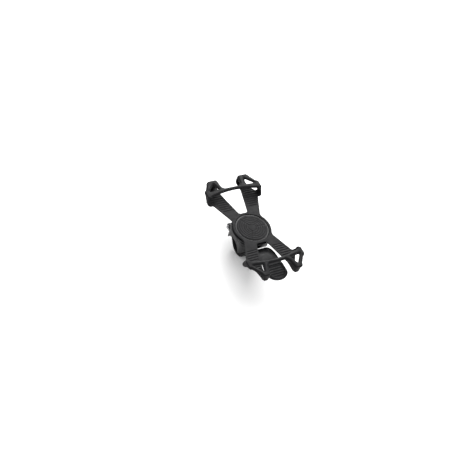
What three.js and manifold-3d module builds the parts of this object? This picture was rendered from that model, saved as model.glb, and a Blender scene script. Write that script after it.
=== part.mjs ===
// Phone handlebar mount: a soft harness that holds a phone, turning on a quick-release base that a
// silicone strap ties to a handlebar.
//
// Millimetres. The origin is on the handlebar's axis, under the axis that the cradle turns on.
// X runs along the handlebar, Y towards the top of the phone, Z out of the phone's face.

import * as THREE from 'three';
import { mergeVertices } from 'three/addons/utils/BufferGeometryUtils.js';
import Module from 'manifold-3d';

const wasm = await Module();
wasm.setup();

// ---- Driving dimensions ----

const BAR_RADIUS = 11.1;

// Clearance between pieces that pass each other, and between faces that rest on each other.
const GAP = 0.3;
const REST_GAP = 0.1;

// How far a cutting tool runs past the face that it cuts, how deep a piece that is joined on reaches
// into what carries it, and how many sides a round piece has.
const OVERRUN = 1;
const ROOT_DEPTH = 0.5;
const SIDES = { wide: 40, middle: 32, narrow: 16, fine: 12 };

// The phone that the harness is stretched over.
const PHONE_WIDTH = 67.1;
const PHONE_LENGTH = 138.4;
const PHONE_DEPTH = 7.1;
const PHONE_CORNER = 9.5;
const PHONE_BACK_Z = 28;
const PHONE_FACE_Z = PHONE_BACK_Z + PHONE_DEPTH;

// Silicone harness.
const SIDE_SKIN = 2.6;
const FRONT_SKIN = 2.4;
const BACK_SKIN = 2.6;
const SKIN_ROUND = 1.4;
const BAND_INNER_MID = 52.6;
const BAND_INNER_END = 48.4;
const BAND_OUTER = 57.3;
const BAND_HALF_RUN = 30;
const FLANGE_RADIUS = 21.4;
const FLANGE_LOW_Z = 24.9;
const FLANGE_TOP_Z = 26.1;

// The two ends of the harness, half of each, as (x, distance from the middle). The tabs lean: on the
// back of the phone they run between nearer lines than on its face.
const TOP_END = {
  sign: 1,
  lobeInner: 13.4,
  lobeOuter: 25.4,
  windowHalf: 12,
  tabFront: [46.5, 58.6],
  tabBack: [42, 51],
  strutEdge: [[33.6, 59.6], [29, 67.2]],
  window: [[17.4, 57.2], [30.4, 56.3], [20.4, 66.4]],
};
const BOTTOM_END = {
  sign: -1,
  lobeInner: 16.2,
  lobeOuter: 23.8,
  windowHalf: 13.2,
  tabFront: [45, 56.5],
  tabBack: [42, 48],
  strutEdge: [[33.2, 58.4], [26.8, 67.2]],
  window: [[17.8, 55.8], [30.4, 54.6], [21.8, 65.8]],
};
const LOBE_ROOT = 66;
const LOBE_FACE_ROOT = 69.4;
const TAB_ROOT_X = 31;
const LEG_EDGE_X = 33.2;
const LEG_STEP = 0.6;
const BAND_BEND = [20, 50.7];
const FRONT_CORNER = 2.4;
const WINDOW_CORNER = 1.8;
const TAB_CORNER = 0.8;

// The arms behind the phone: root under the plates, and the two sides of the fork.
const ARM_ROOT = [[2, 8], [14, 4]];
const ARM_FORK_X = 30;
const ARM_OUTER_Y = 58;
const ARM_INNER_Y = 56;
const ARM_CORNER = 3;
const TAB_STEP = 0.8;
const FORK_STEP = 1.5;
const RIM_WIDTH = 1.6;

// Cradle plates and hub.
const PLATE_RADIUS = 19.8;
const PLATE_LOW_Z = 26.2;
const PLATE_TOP_Z = 27.3;
const PLATE_SKIN = 0.2;
const PAD_RADIUS = 18.2;
const PAD_EASE = 0.2;
const COVER_RADIUS = 24;
const COVER_LOW_Z = 21.8;
const COVER_TOP_Z = 24.6;
const COVER_BEVEL = [2.2, 1.4];
const COVER_EASE = 0.4;
const CRADLE_SCREW_CIRCLE = 17;
const BOSS_RADIUS = 2.6;
const HUB_NECK_RADIUS = 7.8;
const HUB_NECK_EASE = 0.8;
const HUB_GROOVE_RADIUS = 5;
const HUB_FLANGE_RADIUS = 12.8;
const HUB_HOLE_GAP = 0.5;
const HUB_CORE_RADIUS = 3.2;
const HUB_CORE_DEPTH = 4;
const HUB_KEY_X = 12;
const KEY_RADIUS = 0.9;
const KEY_HEIGHT = 1.1;
const KEYWAY_RADIUS = 1.3;
const HUB_LOW_Z = 14.8;
const GROOVE_LOW_Z = 16.3;
const GROOVE_TOP_Z = 18.5;

// Screws, and the bores and recesses that take them.
const CRADLE_SCREW = { headRadius: 2.2, headHeight: 1.3, shankRadius: 1.05, shankLength: 3.2 };
const HOUSING_SCREW = { headRadius: 2.2, headHeight: 1.2, shankRadius: 1.05, shankLength: 8 };
const SCREW_BORE_RADIUS = 1.4;
const SCREW_RECESS_RADIUS = 2.6;
const CRADLE_SEAT_Z = COVER_LOW_Z + 1.6;
const HOUSING_SEAT_Z = 20;

// Handlebar base.
const BASE_HALF_X = 20;
const BASE_HALF_Y = 16.2;
const BASE_CORNER = 5;
const SADDLE_RADIUS = 12.9;
const SADDLE_EDGE_Z = 3.9;
const SADDLE_FOOT = [14.6, 4.2];
const SADDLE_SHOULDER_Z = 9;
const SADDLE_PAD_HALF_X = 17;
const SADDLE_PAD_RISE = 22;
const FLOOR_Z = 14.4;
const LID_LOW_Z = 18.9;
const LID_TOP_Z = 21.4;
const LID_EASE = 0.5;
const HUB_HOLE_RADIUS = 8.2;
const GLIDE_INNER = 9.5;
const GLIDE_OUTER = 13.1;
const GLIDE_EASE = 0.15;
const GLIDE_LOW_Z = LID_TOP_Z - 0.6;
const GLIDE_TOP_Z = LID_TOP_Z + 0.25;
const CAVITY_HALF_X = 17.3;
const CAVITY_HALF_Y = 10.4;
const HOUSING_SCREW_X = 15.8;
const HOUSING_SCREW_Y = 12.6;

// Latch.
const LATCH_LOW_Z = 16.6;
const LATCH_TOP_Z = 18.2;
const LATCH_TRAVEL = 3;
const LATCH_HOLE_RADIUS = 8.2;
const LATCH_BACK_X = -13.5;
const LATCH_FRONT_X = 14;
const LATCH_HALF_Y = 10;
const LATCH_CORNER = 0.8;
const TONGUE_FRONT_X = 19;
const TONGUE_HALF_Y = 4;
const BUTTON_FACE_X = 23.3;
const BUTTON_HALF_Y = 6.9;
const BUTTON_HALF_Z = 1.75;
const BUTTON_CORNER = 0.9;
const BUTTON_MID_Z = 16.8;
const BUTTON_SLOT_HALF_Y = BUTTON_HALF_Y + 0.4;
const BUTTON_SLOT_LOW_Z = BUTTON_MID_Z - BUTTON_HALF_Z - 0.15;
const STOP_BACK_X = 14.4;
const STOP_FRONT_X = 16.9;
const STOP_HALF_Y = 8.6;
const STOP_LOW_Z = 15.1;
const STOP_TOP_Z = 18.5;
const SPRING_Y = 7.6;
const SPRING_BACK_X = -17;
const SPRING_LENGTH = 7.3;
const POCKET_HALF_Y = 1.7;
const SPRING_RADIUS = 1.1;
const SPRING_WIRE = 0.45;
const SPRING_TURNS = 5;

// Strap, pin and hook. Places in the strap's side view are (y, z).
const STRAP_THICK = 3;
const STRAP_HALF_WIDTH = 11.3;
const TAB_HALF_WIDTH = 12.25;
const TAB_FLARE_FROM_Y = -48;
const TAB_FLARE_TO_Y = -54;
const TAB_ROUND = 9;
const TAB_END_Y = -73;
const TAIL_Z = 23.3;
const TAIL_START_Y = -46;
const BEND_START = 3;
const BEND_LEAD_IN = 11;
const BEND_LEAD_OUT = 12;
const SLOT_RUNS = [-8.5, 0];
const SLOT_HALF_X = 3.9;
const SLOT_HALF_RUN = 2.2;
const SLOT_CORNER = 1.6;
const PIN_Y = 21.2;
const PIN_Z = 9.5;
const PIN_RADIUS = 1.9;
const PIN_FIT = 0.15;
const PIN_END_X = -18.2;
const PIN_HEAD_RADIUS = 2.9;
const PIN_HEAD_THICK = 1.2;
const PIN_GROOVE_X = [-17.3, -16.5];
const PIN_GROOVE_RADIUS = 1.3;
const CLIP_RADIUS = 3.1;
const CLIP_BORE_RADIUS = 1.5;
const CLIP_THICK = 0.4;
const CLIP_MOUTH_HALF = 1;
const EYE_INNER = 2.2;
const EYE_OUTER = 4.4;
const EAR_INNER_X = 12.6;
const EAR_OUTER_X = 16.2;
const PIN_HEAD_X = EAR_OUTER_X + 0.2;
const EAR_RADIUS = 4.3;
const EAR_ROOT_Y = 14.5;
const EAR_ROOT_LOW_Z = 6;
const EAR_ROOT_TOP_Z = 16;
const HOOK_LEAN = Math.PI / 6;
const HOOK_RUN = 16;
const HOOK_POST = { from: -6, to: 3, halfThick: 1.6, halfWidth: 3 };
const HOOK_HEAD = { from: 2.1, to: 4.2, halfThick: 2.7, halfWidth: 5 };

// ---- Materials ----

const paint = (color, roughness, metalness = 0) => (
  new THREE.MeshStandardMaterial({ color, roughness, metalness })
);
const silicone = () => paint(0x2b2b2d, 0.72);
const nylon = () => paint(0x1c1c1e, 0.5);
const acetal = () => paint(0xd8d8d2, 0.4);
const rubber = () => paint(0x141414, 0.9);
const buttonPlastic = () => paint(0x3a3b3d, 0.45);
const steel = () => paint(0xb4b6b8, 0.3, 1);
const blackScrew = () => paint(0x262626, 0.35, 1);

// ---- Solids ----

function weld(geometry) {
  const bare = geometry.clone();
  bare.deleteAttribute('normal');
  bare.deleteAttribute('uv');
  return mergeVertices(bare, 1e-4);
}

function toSolid(geometry) {
  const welded = weld(geometry);
  const index = welded.index.array;
  const kept = [];
  for (let i = 0; i < index.length; i += 3) {
    const [a, b, c] = [index[i], index[i + 1], index[i + 2]];
    if (a !== b && b !== c && c !== a) kept.push(a, b, c);
  }
  const mesh = new wasm.Mesh({
    numProp: 3,
    vertProperties: new Float32Array(welded.attributes.position.array),
    triVerts: new Uint32Array(kept),
  });
  return new wasm.Manifold(mesh);
}

function toGeometry(solid) {
  const mesh = solid.getMesh();
  const geometry = new THREE.BufferGeometry();
  geometry.setAttribute('position', new THREE.BufferAttribute(mesh.vertProperties, 3));
  geometry.setIndex(new THREE.BufferAttribute(mesh.triVerts, 1));
  geometry.computeVertexNormals();
  return geometry;
}

const cutAll = (solid, tools) => tools.reduce((rest, tool) => rest.subtract(tool), solid);
const joinAll = (solids) => solids.reduce((whole, piece) => whole.add(piece));

function slab(shape, lowZ, topZ, curveSegments = 6) {
  const geometry = new THREE.ExtrudeGeometry(shape, {
    depth: topZ - lowZ, bevelEnabled: false, curveSegments,
  });
  return geometry.translate(0, 0, lowZ);
}

function softSlab(shape, lowZ, topZ, round, bevelSegments, curveSegments = 6) {
  const geometry = new THREE.ExtrudeGeometry(shape, {
    depth: topZ - lowZ - 2 * round,
    bevelSize: round,
    bevelOffset: -round,
    bevelThickness: round,
    bevelSegments,
    curveSegments,
  });
  return geometry.translate(0, 0, lowZ + round);
}

// A shape drawn in (y, z), run along X between two planes.
function sideSlab(shape, fromX, toX, curveSegments = 6) {
  const along = new THREE.Matrix4().makeBasis(
    new THREE.Vector3(0, 1, 0), new THREE.Vector3(0, 0, 1), new THREE.Vector3(1, 0, 0),
  );
  return slab(shape, fromX, toX, curveSegments).applyMatrix4(along);
}

function disc(radius, lowZ, topZ, segments = 32, x = 0, y = 0) {
  const geometry = new THREE.CylinderGeometry(radius, radius, topZ - lowZ, segments);
  return geometry.rotateX(Math.PI / 2).translate(x, y, (lowZ + topZ) / 2);
}

function box(x0, x1, y0, y1, z0, z1) {
  const geometry = new THREE.BoxGeometry(x1 - x0, y1 - y0, z1 - z0);
  return geometry.translate((x0 + x1) / 2, (y0 + y1) / 2, (z0 + z1) / 2);
}

function turned(profile, segments = 32) {
  const points = profile.map(([radius, z]) => new THREE.Vector2(radius, z));
  return new THREE.LatheGeometry(points, segments).rotateX(Math.PI / 2);
}

// A closed counter-clockwise outline through corner points, each corner eased by the same setback,
// or by this share of the side next to it where that is less.
const EASE_SHARE = 0.45;

function easedPath(corners, setback, path = new THREE.Shape()) {
  const count = corners.length;
  const points = corners.map(([x, y]) => new THREE.Vector2(x, y));
  if (THREE.ShapeUtils.area(points) < 0) points.reverse();
  points.forEach((corner, i) => {
    const before = points[(i + count - 1) % count];
    const after = points[(i + 1) % count];
    const room = EASE_SHARE * Math.min(corner.distanceTo(before), corner.distanceTo(after));
    const reach = Math.min(setback, room);
    const entry = corner.clone().add(before.clone().sub(corner).setLength(reach));
    const exit = corner.clone().add(after.clone().sub(corner).setLength(reach));
    if (i === 0) path.moveTo(entry.x, entry.y);
    else path.lineTo(entry.x, entry.y);
    path.quadraticCurveTo(corner.x, corner.y, exit.x, exit.y);
  });
  path.closePath();
  return path;
}

function roundedRect(halfX, halfY, radius) {
  const shape = new THREE.Shape();
  shape.moveTo(halfX, -halfY + radius);
  shape.absarc(halfX - radius, halfY - radius, radius, 0, Math.PI / 2, false);
  shape.absarc(-halfX + radius, halfY - radius, radius, Math.PI / 2, Math.PI, false);
  shape.absarc(-halfX + radius, -halfY + radius, radius, Math.PI, 1.5 * Math.PI, false);
  shape.absarc(halfX - radius, -halfY + radius, radius, 1.5 * Math.PI, 2 * Math.PI, false);
  return shape;
}

// ---- Silicone harness ----

const OUT_X = PHONE_WIDTH / 2 + SIDE_SKIN + OVERRUN;
const OUT_Y = PHONE_LENGTH / 2 + SIDE_SKIN + OVERRUN;
const OUT_LOW_Z = PHONE_BACK_Z - BACK_SKIN - OVERRUN;
const OUT_TOP_Z = PHONE_FACE_Z + FRONT_SKIN + OVERRUN;

// The front of one end, seen from the rider: band, two legs, two struts, two tabs.
function frontOutline(end) {
  const [tabNear, tabFar] = end.tabFront;
  const right = [
    [BAND_HALF_RUN, BAND_INNER_END],
    [LEG_EDGE_X, tabNear + LEG_STEP],
    [OUT_X, tabNear],
    [OUT_X, tabFar],
    ...end.strutEdge,
    [end.lobeOuter, OUT_Y],
    [end.lobeInner, OUT_Y],
    [end.lobeInner, LOBE_FACE_ROOT],
    [end.windowHalf, BAND_OUTER],
  ];
  const left = right.map(([x, y]) => [-x, y]);
  const [bendX, bendY] = BAND_BEND;
  const inner = [[bendX, bendY], [0, BAND_INNER_MID], [-bendX, bendY]];
  const corners = [...inner, ...left, ...right.reverse()];
  const outline = easedPath(corners.map(([x, y]) => [x, y * end.sign]), FRONT_CORNER);
  outline.holes = [-1, 1].map((side) => (
    easedPath(end.window.map(([x, y]) => [x * side, y * end.sign]), WINDOW_CORNER, new THREE.Path())
  ));
  return outline;
}

// The back of one end: an arm that runs out from the middle and forks to a tab and a lobe.
function backOutline(side, end) {
  const [tabNear, tabFar] = end.tabBack;
  const corners = [
    ...ARM_ROOT,
    [ARM_FORK_X, tabNear],
    [OUT_X, tabNear],
    [OUT_X, tabFar],
    [TAB_ROOT_X, tabFar + TAB_STEP],
    [end.lobeOuter + FORK_STEP, ARM_OUTER_Y],
    [end.lobeOuter, LOBE_ROOT],
    [end.lobeOuter, OUT_Y],
    [end.lobeInner, OUT_Y],
    [end.lobeInner, ARM_INNER_Y],
  ];
  return easedPath(corners.map(([x, y]) => [x * side, y * end.sign]), ARM_CORNER);
}

// A tab's leaning stretch, drawn in (y, z), where it passes round the phone's long side.
function tabSide(end) {
  const corners = [
    [end.tabBack[0], OUT_LOW_Z],
    [end.tabBack[0], PHONE_BACK_Z],
    [end.tabFront[0], PHONE_FACE_Z],
    [end.tabFront[0], OUT_TOP_Z],
    [end.tabFront[1], OUT_TOP_Z],
    [end.tabFront[1], PHONE_FACE_Z],
    [end.tabBack[1], PHONE_BACK_Z],
    [end.tabBack[1], OUT_LOW_Z],
  ];
  return easedPath(corners.map(([y, z]) => [y * end.sign, z]), TAB_CORNER);
}

function phoneShell() {
  const outer = softSlab(
    roundedRect(PHONE_WIDTH / 2 + SIDE_SKIN, PHONE_LENGTH / 2 + SIDE_SKIN, PHONE_CORNER + SIDE_SKIN),
    PHONE_BACK_Z - BACK_SKIN, PHONE_FACE_Z + FRONT_SKIN, SKIN_ROUND, 2,
  );
  const inner = slab(
    roundedRect(PHONE_WIDTH / 2, PHONE_LENGTH / 2, PHONE_CORNER), PHONE_BACK_Z, PHONE_FACE_Z,
  );
  return toSolid(outer).subtract(toSolid(inner));
}

// What is kept of the shell: the two ends' fronts, their tabs and lobes round the edges, and the arms.
function harnessMasks(end) {
  const masks = [toSolid(slab(frontOutline(end), PHONE_FACE_Z - ROOT_DEPTH, OUT_TOP_Z, 4))];
  for (const side of [-1, 1]) {
    const [x0, x1] = [end.lobeInner * side, end.lobeOuter * side].sort((a, b) => a - b);
    const [y0, y1] = [LOBE_ROOT * end.sign, OUT_Y * end.sign].sort((a, b) => a - b);
    const [tab0, tab1] = [TAB_ROOT_X * side, OUT_X * side].sort((a, b) => a - b);
    masks.push(toSolid(slab(backOutline(side, end), OUT_LOW_Z, PHONE_BACK_Z + ROOT_DEPTH, 4)));
    masks.push(toSolid(box(x0, x1, y0, y1, OUT_LOW_Z, OUT_TOP_Z)));
    masks.push(toSolid(sideSlab(tabSide(end), tab0, tab1, 2)));
  }
  return masks;
}

function harness() {
  const masks = [...harnessMasks(TOP_END), ...harnessMasks(BOTTOM_END)];
  const net = phoneShell().intersect(joinAll(masks));
  const through = (radius, sides, x = 0, y = 0) => (
    toSolid(disc(radius, FLANGE_LOW_Z - OVERRUN, PHONE_BACK_Z + OVERRUN, sides, x, y))
  );
  const flange = toSolid(disc(FLANGE_RADIUS, FLANGE_LOW_Z, FLANGE_TOP_Z, SIDES.wide));
  const rim = toSolid(disc(FLANGE_RADIUS + RIM_WIDTH, PHONE_BACK_Z - BACK_SKIN, PHONE_BACK_Z, SIDES.wide));
  const plateRecess = toSolid(
    disc(PLATE_RADIUS + GAP, FLANGE_TOP_Z, PHONE_BACK_Z + OVERRUN, SIDES.wide),
  );
  const hubHole = through(HUB_FLANGE_RADIUS + HUB_HOLE_GAP, SIDES.middle);
  const bossHoles = screwPlaces().map(([x, y]) => through(BOSS_RADIUS + GAP, SIDES.fine, x, y));
  return toGeometry(cutAll(joinAll([net, flange, rim]), [plateRecess, hubHole, ...bossHoles]));
}

// ---- Cradle plates, hub and screws ----

function screwPlaces() {
  return [45, 135, 225, 315].map((degrees) => {
    const angle = THREE.MathUtils.degToRad(degrees);
    return [CRADLE_SCREW_CIRCLE * Math.cos(angle), CRADLE_SCREW_CIRCLE * Math.sin(angle)];
  });
}

function phonePlate() {
  const bosses = screwPlaces().map(([x, y]) => (
    toSolid(disc(BOSS_RADIUS, COVER_TOP_Z + REST_GAP, PLATE_LOW_Z + ROOT_DEPTH, SIDES.narrow, x, y))
  ));
  const holes = screwPlaces().map(([x, y]) => (
    toSolid(disc(SCREW_BORE_RADIUS, COVER_TOP_Z - OVERRUN, PLATE_TOP_Z - PLATE_SKIN, SIDES.fine, x, y))
  ));
  const plate = toSolid(disc(PLATE_RADIUS, PLATE_LOW_Z, PLATE_TOP_Z, SIDES.wide));
  return toGeometry(cutAll(joinAll([plate, ...bosses]), holes));
}

const gripPad = () => turned([
  [0, PLATE_TOP_Z + REST_GAP],
  [PAD_RADIUS, PLATE_TOP_Z + REST_GAP],
  [PAD_RADIUS, PHONE_BACK_Z - PAD_EASE],
  [PAD_RADIUS - PAD_EASE, PHONE_BACK_Z],
  [0, PHONE_BACK_Z],
], SIDES.wide);

function rearCover() {
  const [bevelRadius, bevelHeight] = COVER_BEVEL;
  const cover = toSolid(turned([
    [0, COVER_LOW_Z],
    [COVER_RADIUS - bevelRadius, COVER_LOW_Z],
    [COVER_RADIUS, COVER_LOW_Z + bevelHeight],
    [COVER_RADIUS, COVER_TOP_Z - COVER_EASE],
    [COVER_RADIUS - COVER_EASE, COVER_TOP_Z],
    [0, COVER_TOP_Z],
  ], SIDES.wide));
  const keyTopZ = COVER_TOP_Z + KEY_HEIGHT;
  const keys = [-1, 1].map((side) => (
    toSolid(disc(KEY_RADIUS, COVER_TOP_Z - ROOT_DEPTH, keyTopZ, SIDES.fine, side * HUB_KEY_X))
  ));
  const tool = (radius, topZ, sides, x = 0, y = 0) => (
    toSolid(disc(radius, COVER_LOW_Z - OVERRUN, topZ, sides, x, y))
  );
  const aboveCover = keyTopZ + OVERRUN;
  const bore = tool(HUB_NECK_RADIUS + GAP, aboveCover, SIDES.middle);
  const shanks = screwPlaces().map(([x, y]) => tool(SCREW_BORE_RADIUS, aboveCover, SIDES.fine, x, y));
  const heads = screwPlaces().map(([x, y]) => tool(SCREW_RECESS_RADIUS, CRADLE_SEAT_Z, SIDES.narrow, x, y));
  return toGeometry(cutAll(joinAll([cover, ...keys]), [bore, ...shanks, ...heads]));
}

function swivelHub() {
  const flangeLowZ = COVER_TOP_Z + REST_GAP;
  const topZ = PLATE_LOW_Z - 2 * REST_GAP;
  const hub = toSolid(turned([
    [0, HUB_LOW_Z],
    [HUB_NECK_RADIUS - HUB_NECK_EASE, HUB_LOW_Z],
    [HUB_NECK_RADIUS, HUB_LOW_Z + HUB_NECK_EASE],
    [HUB_NECK_RADIUS, GROOVE_LOW_Z],
    [HUB_GROOVE_RADIUS, GROOVE_LOW_Z],
    [HUB_GROOVE_RADIUS, GROOVE_TOP_Z],
    [HUB_NECK_RADIUS, GROOVE_TOP_Z],
    [HUB_NECK_RADIUS, flangeLowZ],
    [HUB_FLANGE_RADIUS, flangeLowZ],
    [HUB_FLANGE_RADIUS, topZ],
    [0, topZ],
  ], SIDES.middle));
  const keyways = [-1, 1].map((side) => (
    toSolid(disc(KEYWAY_RADIUS, COVER_TOP_Z, topZ + OVERRUN, SIDES.fine, side * HUB_KEY_X))
  ));
  const core = toSolid(disc(HUB_CORE_RADIUS, HUB_LOW_Z - OVERRUN, HUB_LOW_Z + HUB_CORE_DEPTH, SIDES.narrow));
  return toGeometry(cutAll(hub, [...keyways, core]));
}

// A pan-head screw with a hexagon socket, head up, its head's underside at z = 0.
function screw({ headRadius, headHeight, shankRadius, shankLength }) {
  const body = toSolid(turned([
    [0, -shankLength],
    [shankRadius * 0.6, -shankLength],
    [shankRadius, -shankLength + 0.5],
    [shankRadius, 0],
    [headRadius, 0],
    [headRadius, headHeight * 0.65],
    [headRadius * 0.8, headHeight],
    [0, headHeight],
  ], SIDES.fine));
  const socket = toSolid(disc(headRadius * 0.45, headHeight * 0.35, headHeight + OVERRUN, 6));
  return toGeometry(body.subtract(socket));
}

// ---- Handlebar base ----

// Side view of the saddle, in (y, z): flat top, sloping lower sides, arched over the bar.
function saddleProfile() {
  const rise = Math.asin(SADDLE_EDGE_Z / SADDLE_RADIUS);
  const [footY, footZ] = SADDLE_FOOT;
  const topZ = LID_LOW_Z - GAP;
  const shape = new THREE.Shape();
  shape.moveTo(footY, footZ);
  shape.lineTo(BASE_HALF_Y, SADDLE_SHOULDER_Z);
  shape.lineTo(BASE_HALF_Y, topZ);
  shape.lineTo(-BASE_HALF_Y, topZ);
  shape.lineTo(-BASE_HALF_Y, SADDLE_SHOULDER_Z);
  shape.lineTo(-footY, footZ);
  shape.absarc(0, 0, SADDLE_RADIUS, Math.PI - rise, rise, true);
  return shape;
}

// One ear that holds an end of the anchor pin, in (y, z).
function earProfile() {
  const shape = new THREE.Shape();
  shape.moveTo(EAR_ROOT_Y, EAR_ROOT_LOW_Z);
  shape.absarc(PIN_Y, PIN_Z, EAR_RADIUS, -Math.PI / 2, Math.PI / 2, false);
  shape.lineTo(EAR_ROOT_Y, EAR_ROOT_TOP_Z);
  return shape;
}

// The strap's line where it leaves the bar and rises past the hook, in (y, z).
function hookPlace() {
  const across = new THREE.Vector2(-Math.cos(HOOK_LEAN), -Math.sin(HOOK_LEAN));
  const along = new THREE.Vector2(-Math.sin(HOOK_LEAN), Math.cos(HOOK_LEAN));
  const leave = across.clone().multiplyScalar(SADDLE_RADIUS);
  const seat = leave.clone().addScaledVector(along, HOOK_RUN);
  return { across, along, leave, seat };
}

// A bar whose length lies across the strap at the hook, measured from the strap's middle.
function hookBar({ from, to, halfThick, halfWidth }) {
  const { across, along, seat } = hookPlace();
  const at = (run, side) => seat.clone().addScaledVector(across, run).addScaledVector(along, side);
  const shape = new THREE.Shape([
    at(from, -halfThick), at(to, -halfThick), at(to, halfThick), at(from, halfThick),
  ]);
  return toSolid(sideSlab(shape, -halfWidth, halfWidth));
}

function housingScrewPlaces() {
  const places = [];
  for (const x of [-HOUSING_SCREW_X, HOUSING_SCREW_X]) {
    for (const y of [-HOUSING_SCREW_Y, HOUSING_SCREW_Y]) places.push([x, y]);
  }
  return places;
}

function baseLower() {
  const plan = slab(roundedRect(BASE_HALF_X, BASE_HALF_Y, BASE_CORNER), 0, LID_TOP_Z);
  const saddle = toSolid(sideSlab(saddleProfile(), -BASE_HALF_X, BASE_HALF_X, 24));
  const block = saddle.intersect(toSolid(plan));
  const ears = [-1, 1].map((side) => {
    const [low, high] = side < 0 ? [-EAR_OUTER_X, -EAR_INNER_X] : [EAR_INNER_X, EAR_OUTER_X];
    return toSolid(sideSlab(earProfile(), low, high, 10));
  });
  const cavity = toSolid(box(
    -CAVITY_HALF_X, CAVITY_HALF_X, -CAVITY_HALF_Y, CAVITY_HALF_Y, FLOOR_Z, LID_TOP_Z,
  ));
  const buttonSlot = toSolid(box(
    CAVITY_HALF_X - OVERRUN, BASE_HALF_X + OVERRUN,
    -BUTTON_SLOT_HALF_Y, BUTTON_SLOT_HALF_Y, BUTTON_SLOT_LOW_Z, LID_TOP_Z,
  ));
  const pinBore = toSolid(pinCylinder(PIN_RADIUS + PIN_FIT, -BASE_HALF_X, BASE_HALF_X));
  const screwFloorZ = HOUSING_SEAT_Z - HOUSING_SCREW.shankLength - GAP;
  const screwBores = housingScrewPlaces().map(([x, y]) => (
    toSolid(disc(SCREW_BORE_RADIUS, screwFloorZ, LID_TOP_Z, SIDES.fine, x, y))
  ));
  return toGeometry(cutAll(joinAll([block, ...ears, hookBar(HOOK_POST), hookBar(HOOK_HEAD)]), [
    cavity, buttonSlot, pinBore, ...screwBores,
  ]));
}

function baseUpper() {
  const lid = toSolid(softSlab(
    roundedRect(BASE_HALF_X, BASE_HALF_Y, BASE_CORNER), LID_LOW_Z, LID_TOP_Z, LID_EASE, 1,
  ));
  const tool = (radius, lowZ, sides, x = 0, y = 0) => (
    toSolid(disc(radius, lowZ, LID_TOP_Z + OVERRUN, sides, x, y))
  );
  const underLid = LID_LOW_Z - OVERRUN;
  const bore = tool(HUB_HOLE_RADIUS, underLid, SIDES.middle);
  const trackCore = tool(GLIDE_INNER - GAP, underLid, SIDES.wide);
  const track = tool(GLIDE_OUTER + GAP, GLIDE_LOW_Z - REST_GAP, SIDES.wide).subtract(trackCore);
  const shanks = housingScrewPlaces().map(([x, y]) => tool(SCREW_BORE_RADIUS, underLid, SIDES.fine, x, y));
  const heads = housingScrewPlaces().map(([x, y]) => (
    tool(SCREW_RECESS_RADIUS, HOUSING_SEAT_Z, SIDES.narrow, x, y)
  ));
  return toGeometry(cutAll(lid, [bore, track, ...shanks, ...heads]));
}

const glideRing = () => turned([
  [GLIDE_INNER, GLIDE_LOW_Z],
  [GLIDE_OUTER, GLIDE_LOW_Z],
  [GLIDE_OUTER, GLIDE_TOP_Z - GLIDE_EASE],
  [GLIDE_OUTER - GLIDE_EASE, GLIDE_TOP_Z],
  [GLIDE_INNER + GLIDE_EASE, GLIDE_TOP_Z],
  [GLIDE_INNER, GLIDE_TOP_Z - GLIDE_EASE],
  [GLIDE_INNER, GLIDE_LOW_Z],
], SIDES.wide);

function saddlePad() {
  const rise = THREE.MathUtils.degToRad(SADDLE_PAD_RISE);
  const shape = new THREE.Shape();
  shape.absarc(0, 0, SADDLE_RADIUS - GAP, rise, Math.PI - rise, false);
  shape.absarc(0, 0, BAR_RADIUS + REST_GAP, Math.PI - rise, rise, true);
  return sideSlab(shape, -SADDLE_PAD_HALF_X, SADDLE_PAD_HALF_X, 18);
}

// ---- Latch ----

function latchPlate() {
  const half = [
    [TONGUE_FRONT_X, TONGUE_HALF_Y],
    [LATCH_FRONT_X, TONGUE_HALF_Y],
    [LATCH_FRONT_X, LATCH_HALF_Y],
    [LATCH_BACK_X, LATCH_HALF_Y],
  ];
  const mirrored = half.map(([x, y]) => [x, -y]).reverse();
  const plate = toSolid(slab(easedPath([...half, ...mirrored], LATCH_CORNER), LATCH_LOW_Z, LATCH_TOP_Z, 3));
  const lowZ = LATCH_LOW_Z - OVERRUN;
  const topZ = LATCH_TOP_Z + OVERRUN;
  const hole = toSolid(disc(LATCH_HOLE_RADIUS, lowZ, topZ, SIDES.wide, LATCH_TRAVEL));
  const pocketEndX = SPRING_BACK_X + SPRING_LENGTH + GAP;
  const pockets = [-SPRING_Y, SPRING_Y].map((y) => (
    toSolid(box(LATCH_BACK_X - OVERRUN, pocketEndX, y - POCKET_HALF_Y, y + POCKET_HALF_Y, lowZ, topZ))
  ));
  return toGeometry(cutAll(plate, [hole, ...pockets]));
}

function releaseButton() {
  const capShape = roundedRect(BUTTON_HALF_Y, BUTTON_HALF_Z, BUTTON_CORNER);
  const cap = toSolid(
    sideSlab(capShape, LATCH_FRONT_X + GAP, BUTTON_FACE_X).translate(0, 0, BUTTON_MID_Z),
  );
  const stop = toSolid(box(
    STOP_BACK_X, STOP_FRONT_X, -STOP_HALF_Y, STOP_HALF_Y, STOP_LOW_Z, STOP_TOP_Z,
  ));
  const slotHalfY = TONGUE_HALF_Y + GAP;
  const tongueSlot = toSolid(box(
    LATCH_FRONT_X, TONGUE_FRONT_X + GAP, -slotHalfY, slotHalfY, LATCH_LOW_Z - GAP, LATCH_TOP_Z + GAP,
  ));
  return toGeometry(cap.add(stop).subtract(tongueSlot));
}

class Coil extends THREE.Curve {
  constructor(startX, length, y, z) {
    super();
    Object.assign(this, { startX, length, y, z });
  }

  getPoint(t, target = new THREE.Vector3()) {
    const angle = 2 * Math.PI * SPRING_TURNS * t;
    return target.set(
      this.startX + this.length * t,
      this.y + SPRING_RADIUS * Math.cos(angle),
      this.z + SPRING_RADIUS * Math.sin(angle),
    );
  }
}

function latchSpring(y) {
  const wire = new THREE.Shape().absarc(0, 0, SPRING_WIRE / 2, 0, 2 * Math.PI, false);
  const coil = new Coil(SPRING_BACK_X, SPRING_LENGTH, y, (LATCH_LOW_Z + LATCH_TOP_Z) / 2);
  return new THREE.ExtrudeGeometry(wire, {
    extrudePath: coil, steps: SPRING_TURNS * 8, curveSegments: 3, bevelEnabled: false,
  });
}

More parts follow.
